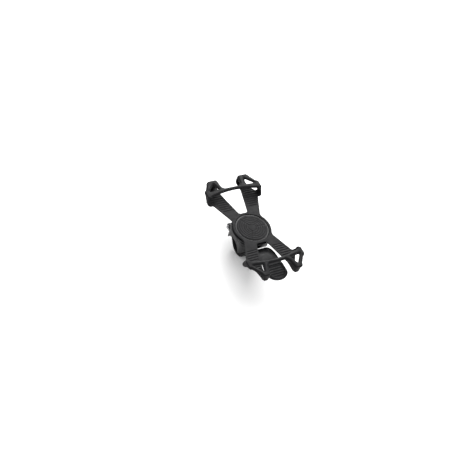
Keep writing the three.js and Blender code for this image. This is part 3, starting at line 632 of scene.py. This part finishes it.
def harness_field(x, y, z):
    fronts = np.minimum(*(front_region(x, y, end) for end in (TOP_END, BOTTOM_END)))
    front = soften(fronts, EASE_PASSES)
    arms = np.minimum(*(back_region(x, y, end) for end in (TOP_END, BOTTOM_END)))
    radius = np.hypot(x, y)
    back = soften(either(arms, radius - RIM_RADIUS, 3.0), EASE_PASSES)
    sides = np.minimum(*(side_region(x, y, z, end) for end in (TOP_END, BOTTOM_END)))

    on_face = front + MASK_SLOPE * np.maximum(PHONE_FACE - MASK_LAP - z, 0.0)
    on_back = back + MASK_SLOPE * np.maximum(z - PHONE_BACK - MASK_LAP, 0.0)
    outline = np.minimum(np.minimum(on_face, on_back), sides)
    skin = both(skin_field(x, y, z, -outline), outline, 0.6)
    net = without(skin, phone_field(x, y, z) - 0.05 - grip_grooves(y, on_back), 0.3)

    flange = both(radius - FLANGE_RADIUS, between(z, FLANGE_LOW, FLANGE_TOP), 0.2)
    recess = both(radius - RECESS_RADIUS, FLANGE_TOP - z)
    bosses = near_any(x, y, screw_places(CRADLE_SCREW_CIRCLE)) - BOSS_RADIUS - GAP
    whole = without(np.minimum(net, flange), recess, 0.25)
    return without(without(whole, bosses, 0.15), radius - HUB_HOLE_RADIUS, 0.2)


def add_harness():
    mould("silicone_harness", harness_field, HARNESS_CELL, "cradle", "silicone")


# ---------------------------------------------------------------- strap, pin and clip

EYE_INNER, EYE_OUTER = 2.2, 4.4
STRAP_HALF_THICK = 1.5
STRAP_HALF_WIDTH = 11.3
LOOP_STEPS = 30
BEND_STEPS = 24
BEND_START = 3.0
BEND_LEAD_IN = 11.0
BEND_LEAD_OUT = 12.0
TAIL_Z = 23.3
TAIL_START_Y = -46.0
TAB_FLARE_Y = -48.0
TAB_FLARE_RUN = 6.0
TAB_HALF_WIDTH = 12.25
TAB_ROUND = 9.0
TAB_END_Y = -73.0
STRAP_CELL = 0.34

# The sunk, ribbed thumb grip on the pull tab, and the fine ribs that face the bar.
THUMB_BORDER = 2.3
THUMB_END_Y = -53.0
THUMB_DEPTH = 0.95
THUMB_EDGE_RUN = 0.8
THUMB_RIB_PITCH = 3.2
THUMB_RIB_HEIGHT = 0.5
THUMB_RIB_START_Y = -56.0
BAR_RIB_PITCH = 2.2
BAR_RIB_DEPTH = 0.3
BAR_RIB_HALF_X = 10.0
BAR_RIB_START = 9.0
BAR_RIB_END = 14.0

# The slots that the hook can take, as distances along the strap from the hooked one.
SLOT_OFFSETS = (-8.5, 0.0)
SLOT_HALF_X, SLOT_HALF_RUN, SLOT_CORNER = 3.9, 2.2, 1.6
SLOT_CUT_REACH = 4.0

PIN_RADIUS = 1.9
PIN_END_X = -18.2
PIN_HEAD_RADIUS = 2.9
PIN_HEAD_X = (16.4, 17.6)
PIN_GROOVE_X = (-17.3, -16.5)
PIN_GROOVE_RADIUS = 1.3
CLIP_X = (-17.1, -16.7)
CLIP_OUTER, CLIP_INNER = 3.1, 1.5
CLIP_MOUTH_HALF = 1.0


def strap_line():
    """The strap's middle line in (y, z): eye, round the bar, past the hook, out to the pull tab."""
    eye_middle = (EYE_INNER + EYE_OUTER) / 2
    reach = math.hypot(PIN_Y, PIN_Z)
    first = math.atan2(PIN_Z, PIN_Y) - math.acos((BAR_LOOP_RADIUS - eye_middle) / reach)
    last = HOOK_LEAN - math.pi
    normal = np.array([math.cos(first), math.sin(first)])
    points = [np.array([PIN_Y, PIN_Z]) + eye_middle * normal]
    for angle in np.linspace(first, last, LOOP_STEPS):
        points.append(BAR_LOOP_RADIUS * np.array([math.cos(angle), math.sin(angle)]))
    along = np.array([-math.sin(HOOK_LEAN), math.cos(HOOK_LEAN)])
    bend = points[-1] + along * (HOOK_RUN + BEND_START)
    tail = np.array([TAIL_START_Y, TAIL_Z])
    handles = [bend, bend + along * BEND_LEAD_IN, tail + np.array([BEND_LEAD_OUT, 0.0]), tail]
    for t in np.linspace(0.0, 1.0, BEND_STEPS):
        weights = [(1 - t) ** 3, 3 * t * (1 - t) ** 2, 3 * t * t * (1 - t), t ** 3]
        points.append(sum(w * h for w, h in zip(weights, handles)))
    points.append(np.array([TAB_END_Y, TAIL_Z]))
    return points


def follow(y, z, points):
    """Signed distance from a line in (y, z), and how far along the line the nearest point is."""
    shape = np.broadcast_shapes(y.shape, z.shape)
    nearest, side, run = np.full(shape, 1e9), np.zeros(shape), np.zeros(shape)
    travelled = 0.0
    for a, b in zip(points, points[1:]):
        e = b - a
        length = float(np.hypot(*e))
        share = np.clip(((y - a[0]) * e[0] + (z - a[1]) * e[1]) / length ** 2, 0.0, 1.0)
        away = np.hypot(y - a[0] - share * e[0], z - a[1] - share * e[1])
        closer = away < nearest
        cross = (e[0] * (z - a[1]) - e[1] * (y - a[0])) / length
        nearest = np.where(closer, away, nearest)
        side = np.where(closer, cross, side)
        run = np.where(closer, travelled + share * length, run)
        travelled += length
    return np.copysign(nearest, side), run


def hook_run():
    """How far along the strap its hooked slot is."""
    points = strap_line()
    steps = [float(np.hypot(*(b - a))) for a, b in zip(points, points[1:])]
    return sum(steps[:LOOP_STEPS]) + HOOK_RUN


def strap_edge(x, y):
    """Plan of the strap: even sides, then the wider pull tab with its elliptical end."""
    tab_middle = TAB_END_Y + TAB_ROUND
    flare = np.clip((TAB_FLARE_Y - y) / TAB_FLARE_RUN, 0.0, 1.0)
    half_width = STRAP_HALF_WIDTH + (TAB_HALF_WIDTH - STRAP_HALF_WIDTH) * flare
    past = np.minimum(y - tab_middle, 0.0)
    end = np.hypot(x / TAB_HALF_WIDTH, past / TAB_ROUND) * TAB_ROUND - TAB_ROUND
    return np.maximum(np.abs(x) - half_width, np.where(y < tab_middle, end, -TAB_ROUND))


def strap_field(x, y, z):
    away, run = follow(y, z, strap_line())
    seat = hook_run()
    edge = strap_edge(x, y)

    dish = both(edge + THUMB_BORDER, between(y, TAB_END_Y, THUMB_END_Y))
    ribs = THUMB_RIB_HEIGHT * ridges(y - THUMB_RIB_START_Y, THUMB_RIB_PITCH, 0.8)
    sunk = np.clip(-dish / THUMB_EDGE_RUN, 0.0, 1.0) * (THUMB_DEPTH - ribs)
    on_bar = (run < seat - BAR_RIB_END) & (run > BAR_RIB_START) & (np.abs(x) < BAR_RIB_HALF_X)
    grip = np.where(on_bar, BAR_RIB_DEPTH * ridges(run, BAR_RIB_PITCH, 0.6), 0.0)
    inner_face = -away - STRAP_HALF_THICK + np.maximum(sunk, grip)
    strip = both(np.maximum(away - STRAP_HALF_THICK, inner_face), edge, 0.7)

    from_pin = np.hypot(y - PIN_Y, z - PIN_Z)
    eye = both(from_pin - EYE_OUTER, np.abs(x) - STRAP_HALF_WIDTH, 0.6)
    whole = either(strip, eye, 0.8)
    for offset in SLOT_OFFSETS:
        slot = plan_field(x, run - seat - offset, SLOT_HALF_X, SLOT_HALF_RUN, SLOT_CORNER)
        whole = without(whole, np.maximum(slot, np.abs(away) - SLOT_CUT_REACH), 0.35)
    return without(whole, from_pin - EYE_INNER, 0.2)


def pin_field(x, y, z):
    radius = np.hypot(y - PIN_Y, z - PIN_Z)
    shank = both(radius - PIN_RADIUS, between(x, PIN_END_X, PIN_HEAD_X[0] + REST_GAP), 0.35)
    head = both(radius - PIN_HEAD_RADIUS, between(x, *PIN_HEAD_X), 0.5)
    groove = both(PIN_GROOVE_RADIUS - radius, between(x, *PIN_GROOVE_X))
    return without(np.minimum(shank, head), groove)


def clip_field(x, y, z):
    radius = np.hypot(y - PIN_Y, z - PIN_Z)
    ring = both(both(radius - CLIP_OUTER, CLIP_INNER - radius, 0.1), between(x, *CLIP_X), 0.08)
    mouth = both(np.abs(z - PIN_Z) - CLIP_MOUTH_HALF, PIN_Y - y)
    return without(ring, mouth, 0.15)


def add_strap_and_pin():
    mould("mounting_strap", strap_field, STRAP_CELL, "handlebar_base", "silicone")
    mould("anchor_pin", pin_field, 0.22, "handlebar_base", "steel")
    mould("pin_clip", clip_field, 0.11, "handlebar_base", "steel")


# ---------------------------------------------------------------- cradle plates

COVER_RADIUS = 24.0
COVER_CHAMFER = 1.9
CRADLE_SEAT_Z = COVER_LOW + 1.6
SCALLOPS = 36
SCALLOP_DEPTH = 0.35
COVER_RING_RADIUS = 20.9
COVER_RING_HALF_WIDTH, COVER_RING_DEPTH = 0.35, 0.35
KEY_RADIUS = 0.9
KEY_TOP = 25.7
PLATE_RADIUS = 19.8
PLATE_SKIN = 0.2
PAD_RADIUS = 18.2
PAD_RING_PITCH = 2.6
PAD_RING_SHIFT = 0.8
PAD_GROOVE_DEPTH = 0.32
PAD_EYE_RADIUS = 4.0
PAD_LANE_START = 4.5

# Pan-head screws: the head is a slice of a ball, and the thread is a fine helix.
SCREW_HEAD_RADIUS = 2.2
SCREW_DOME_RADIUS = 3.55
SCREW_DOME_DROP = 2.3
SCREW_SHANK_RADIUS = 1.05
SCREW_PITCH = 0.8
SCREW_THREAD_DEPTH = 0.09
SOCKET_HALF_FLATS = 0.95
SOCKET_FLOOR = 0.4
CRADLE_SHANK = 3.2
HOUSING_SHANK = 8.0


def cover_field(x, y, z):
    radius = np.hypot(x, y)
    turn = np.arctan2(y, x)
    scallops = SCALLOP_DEPTH * np.clip(np.cos(turn * SCALLOPS), 0.0, 1.0)
    disc = both(radius - COVER_RADIUS + scallops, between(z, COVER_LOW, COVER_TOP), 0.5)
    chamfer = (radius - COVER_RADIUS + (COVER_LOW + COVER_CHAMFER - z)) * math.sqrt(0.5)
    cover = both(disc, chamfer, 0.4)
    from_ring = np.abs(radius - COVER_RING_RADIUS)
    ring = both(from_ring - COVER_RING_HALF_WIDTH, z - COVER_LOW - COVER_RING_DEPTH)
    cover = without(cover, ring)
    keys = both(near_any(x, y, HUB_KEYS) - KEY_RADIUS, between(z, COVER_TOP - 0.6, KEY_TOP), 0.1)
    cover = np.minimum(cover, keys)
    from_screw = near_any(x, y, screw_places(CRADLE_SCREW_CIRCLE))
    cover = without(cover, from_screw - SCREW_BORE_RADIUS)
    cover = without(cover, both(from_screw - SCREW_RECESS_RADIUS, z - CRADLE_SEAT_Z), 0.15)
    return without(cover, radius - HUB_NECK_RADIUS - GAP, 0.2)


def plate_field(x, y, z):
    radius = np.hypot(x, y)
    from_screw = near_any(x, y, screw_places(CRADLE_SCREW_CIRCLE))
    disc = both(radius - PLATE_RADIUS, between(z, PLATE_LOW, PLATE_TOP), 0.35)
    boss_run = between(z, COVER_TOP + REST_GAP, PLATE_LOW + 0.2)
    whole = either(disc, both(from_screw - BOSS_RADIUS, boss_run, 0.15), 0.3)
    return without(whole, both(from_screw - SCREW_BORE_RADIUS, z - PLATE_TOP + PLATE_SKIN))


def pad_field(x, y, z):
    """An anti-slip disc: raised rings, crossed by three lanes that let water out."""
    radius = np.hypot(x, y)
    turn = np.arctan2(y, x)
    from_lane = radius * np.abs(np.sin(turn * 1.5)) / 1.5
    rings = PAD_GROOVE_DEPTH * ridges(radius - PAD_RING_SHIFT, PAD_RING_PITCH, 0.5)
    rings = np.where(radius > PAD_EYE_RADIUS, rings, 0.0)
    lanes = PAD_GROOVE_DEPTH * np.clip(1.6 - from_lane / 0.55, 0.0, 1.0)
    lanes = np.where(radius > PAD_LANE_START, lanes, 0.0)
    top = z - PHONE_BACK + np.maximum(rings, lanes)
    return both(both(radius - PAD_RADIUS, top, 0.2), PLATE_TOP + REST_GAP - z, 0.1)


def screw_field(x, y, z, at, head_up, shank_length):
    """A pan-head screw with a hexagon socket; at is the middle of its head's underside."""
    u, v = x - at[0], y - at[1]
    rise = (z - at[2]) * (1 if head_up else -1)
    radius = np.hypot(u, v)
    turn = np.arctan2(v, u)
    dome = np.hypot(radius, rise + SCREW_DOME_DROP) - SCREW_DOME_RADIUS
    head = both(both(radius - SCREW_HEAD_RADIUS, dome, 0.25), -rise, 0.1)
    helix = rise / SCREW_PITCH + turn / (2 * math.pi)
    thread = SCREW_THREAD_DEPTH * np.abs(helix % 1.0 * 2 - 1)
    shank = both(radius - SCREW_SHANK_RADIUS + thread, between(rise, -shank_length, 0.1), 0.2)
    hexagon = radius * np.cos((turn % (math.pi / 3)) - math.pi / 6) - SOCKET_HALF_FLATS
    return without(np.minimum(head, shank), both(hexagon, SOCKET_FLOOR - rise), 0.06)


def add_screw(node, at, head_up, shank_length, body, slot):
    def field(x, y, z):
        return screw_field(x, y, z, at, head_up, shank_length)

    mould(node, field, 0.17, body, slot)


def add_cradle_plates():
    mould("rear_cover", cover_field, 0.27, "cradle", "nylon")
    mould("phone_plate", plate_field, 0.27, "cradle", "nylon")
    mould("grip_pad", pad_field, 0.22, "cradle", "silicone", grow=0.1)
    for i, (x, y) in enumerate(screw_places(CRADLE_SCREW_CIRCLE)):
        at = (x, y, CRADLE_SEAT_Z - REST_GAP)
        add_screw(f"cradle_screw_{i + 1}", at, False, CRADLE_SHANK, "cradle", "steel")


# ---------------------------------------------------------------- handlebar base

HALF_X, HALF_Y = 20.0, 16.2
BASE_CORNER = 5.0
SADDLE_FOOT = (14.6, 4.2)
SADDLE_SHOULDER_Z = 9.0
SADDLE_EDGE = (12.3, 3.9)
BLOCK_TOP = LID_LOW - GAP
EAR_RADIUS = 4.3
EAR_ROOT_Y = 14.0
EAR_ROOT_Z = (6.0, 16.0)
PIN_BORE_RADIUS = 2.05
HOUSING_SEAT_Z = 20.0
HOUSING_SCREWS = [(x, y) for x in (-15.8, 15.8) for y in (-12.6, 12.6)]
PANEL_MIDDLE_Z = 13.6
PANEL_HALF_X, PANEL_HALF_Z, PANEL_CORNER = 12.0, 2.6, 1.2
PANEL_DEPTH = 0.4

# The hook's post and head: how far each reaches through the strap's slot, and half its thickness and
# width. The two rounds are between its faces along the strap, and along X.
HOOK_POST = {"reach": (-6.0, 3.0), "half_thick": 1.6, "half_width": 3.0, "rounds": (0.3, 0.4)}
HOOK_HEAD = {"reach": (2.1, 4.2), "half_thick": 2.7, "half_width": 5.0, "rounds": (0.6, 0.6)}

# Corners of the room for the latch, of the button's way in, and of the button's parts.
ABOVE_LID = 26.0
LATCH_ROOM = ((-17.3, -10.4, 14.4), (17.3, 10.4, ABOVE_LID))
BUTTON_WAY = ((16.0, -7.3, 14.9), (22.0, 7.3, ABOVE_LID))
BUTTON_CAP = ((13.8, -6.9, 15.05), (23.3, 6.9, 18.55))
BUTTON_STOP = ((14.4, -8.6, 15.1), (16.9, 8.6, 18.5))
TONGUE_SLOT = ((12.0, -4.3, LATCH_LOW - GAP), (19.3, 4.3, LATCH_TOP + GAP))
BUTTON_BACK_X = 14.3
BUTTON_GROOVE_X = 22.85
BUTTON_GROOVE_PITCH = 2.2
BUTTON_GROOVE_HALF_Y = 5.0
BUTTON_GROOVE_HALF_WIDTH = 0.35

HUB_BORE_RADIUS = 8.2
GLIDE_INNER, GLIDE_OUTER = 9.5, 13.1
GLIDE_LOW, GLIDE_TOP = LID_TOP - 0.6, LID_TOP + 0.25
LID_LINE_HALF_X, LID_LINE_HALF_Y, LID_LINE_CORNER = 18.2, 14.4, 3.6
LID_LINE_HALF_WIDTH, LID_LINE_DEPTH = 0.25, 0.3

PAD_ARCH_INNER, PAD_ARCH_OUTER = 11.2, 12.6
PAD_ARCH_RISE = math.radians(22)
PAD_ARCH_HALF_X = 17.0
PAD_RIB_PITCH = 3.0
PAD_RIB_DEPTH = 0.35


def saddle_profile():
    """Outline in (y, z) of the base seen along the bar; the bar's arch is cut from it later."""
    half = [SADDLE_EDGE, SADDLE_FOOT, (HALF_Y, SADDLE_SHOULDER_Z), (HALF_Y, BLOCK_TOP)]
    return half + [(-y, z) for y, z in reversed(half)]


def ears_field(x, y, z):
    """Two ears that hold the ends of the anchor pin."""
    disc = np.hypot(y - PIN_Y, z - PIN_Z) - EAR_RADIUS
    neck = polygon_field(y, z, [
        (EAR_ROOT_Y, EAR_ROOT_Z[0]), (PIN_Y - 1.5, PIN_Z - EAR_RADIUS + 0.2),
        (PIN_Y, PIN_Z + EAR_RADIUS), (EAR_ROOT_Y, EAR_ROOT_Z[1]),
    ])
    return both(np.minimum(disc, neck), between(np.abs(x), EAR_INNER_X, EAR_OUTER_X), 0.5)


def hook_field(x, y, z):
    """Post and head of the strap's hook, which point outwards through the strap's slot."""
    across = np.array([-math.cos(HOOK_LEAN), -math.sin(HOOK_LEAN)])
    along = np.array([-math.sin(HOOK_LEAN), math.cos(HOOK_LEAN)])
    seat = across * BAR_LOOP_RADIUS + along * HOOK_RUN
    out = (y - seat[0]) * across[0] + (z - seat[1]) * across[1]
    side = (y - seat[0]) * along[0] + (z - seat[1]) * along[1]

    def bar(size):
        along_round, side_round = size["rounds"]
        section = both(between(out, *size["reach"]), np.abs(side) - size["half_thick"], along_round)
        return both(section, np.abs(x) - size["half_width"], side_round)

    return either(bar(HOOK_POST), bar(HOOK_HEAD), 0.3)


def base_lower_field(x, y, z):
    plan = plan_field(x, y, HALF_X, HALF_Y, BASE_CORNER)
    block = both(polygon_field(y, z, saddle_profile()), plan, 0.5)
    block = both(block, z - BLOCK_TOP, 0.35)
    panel = plan_field(x, z - PANEL_MIDDLE_Z, PANEL_HALF_X, PANEL_HALF_Z, PANEL_CORNER)
    block = without(block, both(np.abs(np.abs(y) - HALF_Y) - PANEL_DEPTH, panel), 0.2)
    whole = either(either(block, ears_field(x, y, z), 0.8), hook_field(x, y, z), 0.6)

    whole = without(whole, np.hypot(y, z) - BAR_LOOP_RADIUS, 0.2)
    cavity = box_field(x, y, z, *LATCH_ROOM, 0.4)
    slot = box_field(x, y, z, *BUTTON_WAY, 0.3)
    bore_floor = HOUSING_SEAT_Z - HOUSING_SHANK - GAP
    bores = both(near_any(x, y, HOUSING_SCREWS) - SCREW_BORE_RADIUS, bore_floor - z)
    whole = without(without(whole, np.minimum(cavity, slot), 0.2), bores)
    return without(whole, np.hypot(y - PIN_Y, z - PIN_Z) - PIN_BORE_RADIUS, 0.2)


def base_upper_field(x, y, z):
    radius = np.hypot(x, y)
    lid = both(plan_field(x, y, HALF_X, HALF_Y, BASE_CORNER), between(z, LID_LOW, LID_TOP), 0.6)
    track = both(between(radius, GLIDE_INNER - GAP, GLIDE_OUTER + GAP), GLIDE_LOW - REST_GAP - z)
    from_line = np.abs(plan_field(x, y, LID_LINE_HALF_X, LID_LINE_HALF_Y, LID_LINE_CORNER))
    line = both(from_line - LID_LINE_HALF_WIDTH, LID_TOP - LID_LINE_DEPTH - z)
    lid = without(without(lid, track, 0.1), line)
    from_screw = near_any(x, y, HOUSING_SCREWS)
    lid = without(lid, from_screw - SCREW_BORE_RADIUS)
    lid = without(lid, both(from_screw - SCREW_RECESS_RADIUS, HOUSING_SEAT_Z - z), 0.15)
    return without(lid, radius - HUB_BORE_RADIUS, 0.25)


def saddle_pad_field(x, y, z):
    """Rubber arch with ribs across the bar's direction of slip."""
    radius = np.hypot(y, z)
    rise = np.arctan2(z, np.abs(y))
    ribs = PAD_RIB_DEPTH * ridges(x, PAD_RIB_PITCH, 0.6)
    arch = both(radius - PAD_ARCH_OUTER, PAD_ARCH_INNER + ribs - radius, 0.1)
    ends = (PAD_ARCH_RISE - rise) * (PAD_ARCH_INNER + PAD_ARCH_OUTER) / 2
    return both(arch, both(ends, np.abs(x) - PAD_ARCH_HALF_X, 0.5), 0.15)


def button_field(x, y, z):
    cap = both(box_field(x, y, z, *BUTTON_CAP, 0.8), BUTTON_BACK_X - x, 0.1)
    half_pitch = BUTTON_GROOVE_PITCH / 2
    from_groove = np.abs((y + half_pitch) % BUTTON_GROOVE_PITCH - half_pitch)
    grooves = both(from_groove - BUTTON_GROOVE_HALF_WIDTH, np.abs(y) - BUTTON_GROOVE_HALF_Y)
    cap = without(cap, both(grooves, BUTTON_GROOVE_X - x), 0.1)
    stop = box_field(x, y, z, *BUTTON_STOP, 0.3)
    return without(np.minimum(cap, stop), box_field(x, y, z, *TONGUE_SLOT, 0.2))


def add_base():
    mould("base_lower", base_lower_field, 0.3, "handlebar_base", "nylon")
    mould("base_upper", base_upper_field, 0.27, "handlebar_base", "nylon")
    mould("saddle_pad", saddle_pad_field, 0.27, "handlebar_base", "pad_rubber")
    mould("release_button", button_field, 0.2, "release_latch", "button")
    for i, (x, y) in enumerate(HOUSING_SCREWS):
        at = (x, y, HOUSING_SEAT_Z + REST_GAP)
        add_screw(f"housing_screw_{i + 1}", at, True, HOUSING_SHANK, "handlebar_base", "black_steel")


# ---------------------------------------------------------------- hub, glide ring and latch

HUB_LOW, HUB_TOP = 14.8, 26.0
HUB_GROOVE_RADIUS = 5.0
HUB_GROOVE_Z = (16.3, 18.5)
HUB_CORE_RADIUS = 3.2
HUB_CORE_TOP = 18.8
KEYWAY_RADIUS = 1.3
GLIDE_NOTCHES = 12
GLIDE_NOTCH_DEPTH = 0.18
LATCH_HOLE_X = 3.0
LATCH_HOLE_RADIUS = 8.2
LATCH_MIDDLE_X = 0.25
LATCH_HALF_X, LATCH_HALF_Y = 13.75, 10.0
TONGUE_MIDDLE_X = 14.0
TONGUE_HALF_X, TONGUE_HALF_Y = 5.0, 4.0
POCKET_HALF_Y = 1.7
SPRING_SIDE = 7.6
SPRING_START_X = -17.0
SPRING_LENGTH = 7.3
SPRING_RADIUS = 1.1
SPRING_WIRE_RADIUS = 0.22
SPRING_TURNS = 6
SPRING_TURN_STEPS = 20
SPRING_END_CLOSING = 0.11


def ring_field(radius, z, radii, heights, fillet=0.0):
    return both(between(radius, *radii), between(z, *heights), fillet)


def disc_field(radius, z, outer, heights, fillet=0.0):
    return both(radius - outer, between(z, *heights), fillet)


def hub_field(x, y, z):
    radius = np.hypot(x, y)
    neck = disc_field(radius, z, HUB_NECK_RADIUS, (HUB_LOW, HUB_TOP - 1.0), 0.7)
    groove = ring_field(radius, z, (HUB_GROOVE_RADIUS, HUB_FLANGE_RADIUS), HUB_GROOVE_Z, 0.1)
    flange = disc_field(radius, z, HUB_FLANGE_RADIUS, (COVER_TOP + REST_GAP, HUB_TOP), 0.3)
    whole = either(without(neck, groove, 0.15), flange, 0.1)
    keyways = near_any(x, y, HUB_KEYS) - KEYWAY_RADIUS
    core = both(radius - HUB_CORE_RADIUS, z - HUB_CORE_TOP)
    return without(whole, np.minimum(keyways, core), 0.2)


def glide_ring_field(x, y, z):
    """A bearing ring with shallow grease notches across its upper face."""
    radius = np.hypot(x, y)
    turn = np.arctan2(y, x)
    from_notch = radius * np.abs(np.sin(turn * GLIDE_NOTCHES / 2)) / (GLIDE_NOTCHES / 2)
    notches = GLIDE_NOTCH_DEPTH * np.clip(1.6 - from_notch / 0.45, 0.0, 1.0)
    ring = ring_field(radius, z, (GLIDE_INNER, GLIDE_OUTER), (GLIDE_LOW, GLIDE_TOP), 0.16)
    return np.maximum(ring, z - GLIDE_TOP + notches)


def latch_field(x, y, z):
    plate = plan_field(x - LATCH_MIDDLE_X, y, LATCH_HALF_X, LATCH_HALF_Y, 1.2)
    tongue = plan_field(x - TONGUE_MIDDLE_X, y, TONGUE_HALF_X, TONGUE_HALF_Y, 0.8)
    outline = either(plate, tongue, 0.6)
    outline = without(outline, np.hypot(x - LATCH_HOLE_X, y) - LATCH_HOLE_RADIUS)
    pocket_end = SPRING_START_X + SPRING_LENGTH + GAP
    pockets = both(np.abs(np.abs(y) - SPRING_SIDE) - POCKET_HALF_Y, x - pocket_end)
    return both(without(outline, pockets), between(z, LATCH_LOW, LATCH_TOP), 0.22)


def spring_line(side):
    """The wire's middle line: a coil whose first and last turns lie close, as ground ends do."""
    points = []
    steps = SPRING_TURNS * SPRING_TURN_STEPS
    reach = SPRING_LENGTH - 2 * SPRING_WIRE_RADIUS
    for i in range(steps + 1):
        t = i / steps
        closed = t - SPRING_END_CLOSING * math.sin(2 * math.pi * t)
        angle = 2 * math.pi * SPRING_TURNS * t
        points.append(Vector((
            SPRING_START_X + SPRING_WIRE_RADIUS + reach * closed,
            side * SPRING_SIDE + SPRING_RADIUS * math.cos(angle),
            (LATCH_LOW + LATCH_TOP) / 2 + SPRING_RADIUS * math.sin(angle),
        )))
    return points


def wire_mesh(name, line, radius, sides=8):
    """A closed round wire along a line of points."""
    points, faces = [], []
    for i, at in enumerate(line):
        ahead = (line[min(i + 1, len(line) - 1)] - line[max(i - 1, 0)]).normalized()
        across = ahead.cross(Vector((1, 0, 0))).normalized()
        up = ahead.cross(across)
        for k in range(sides):
            turn = 2 * math.pi * k / sides
            points.append((at + radius * (math.cos(turn) * across + math.sin(turn) * up)) * MM)
    for i in range(len(line) - 1):
        for k in range(sides):
            after = (k + 1) % sides
            here, ahead = i * sides, (i + 1) * sides
            faces.append((here + k, here + after, ahead + after, ahead + k))
    faces.append(tuple(range(sides))[::-1])
    faces.append(tuple((len(line) - 1) * sides + k for k in range(sides)))
    mesh = bpy.data.meshes.new(name)
    mesh.from_pydata(points, [], faces)
    mesh.shade_smooth()
    piece = bpy.data.objects.new(name, mesh)
    bpy.context.scene.collection.objects.link(piece)
    return piece


def add_springs():
    for i, side in enumerate((-1, 1)):
        name = f"latch_spring_{i + 1}"
        wire = wire_mesh("visual_" + name, spring_line(side), SPRING_WIRE_RADIUS)
        piece = stand_for(name, wire, "handlebar_base", "steel")
        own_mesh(piece)


def add_latch_and_hub():
    mould("swivel_hub", hub_field, 0.25, "cradle", "acetal")
    mould("glide_ring", glide_ring_field, 0.17, "handlebar_base", "acetal", grow=0.1)
    mould("latch_plate", latch_field, 0.22, "release_latch", "steel")
    add_springs()


# ---------------------------------------------------------------- build everything

add_camera()
add_studio()
add_harness()
add_cradle_plates()
add_strap_and_pin()
add_base()
add_latch_and_hub()
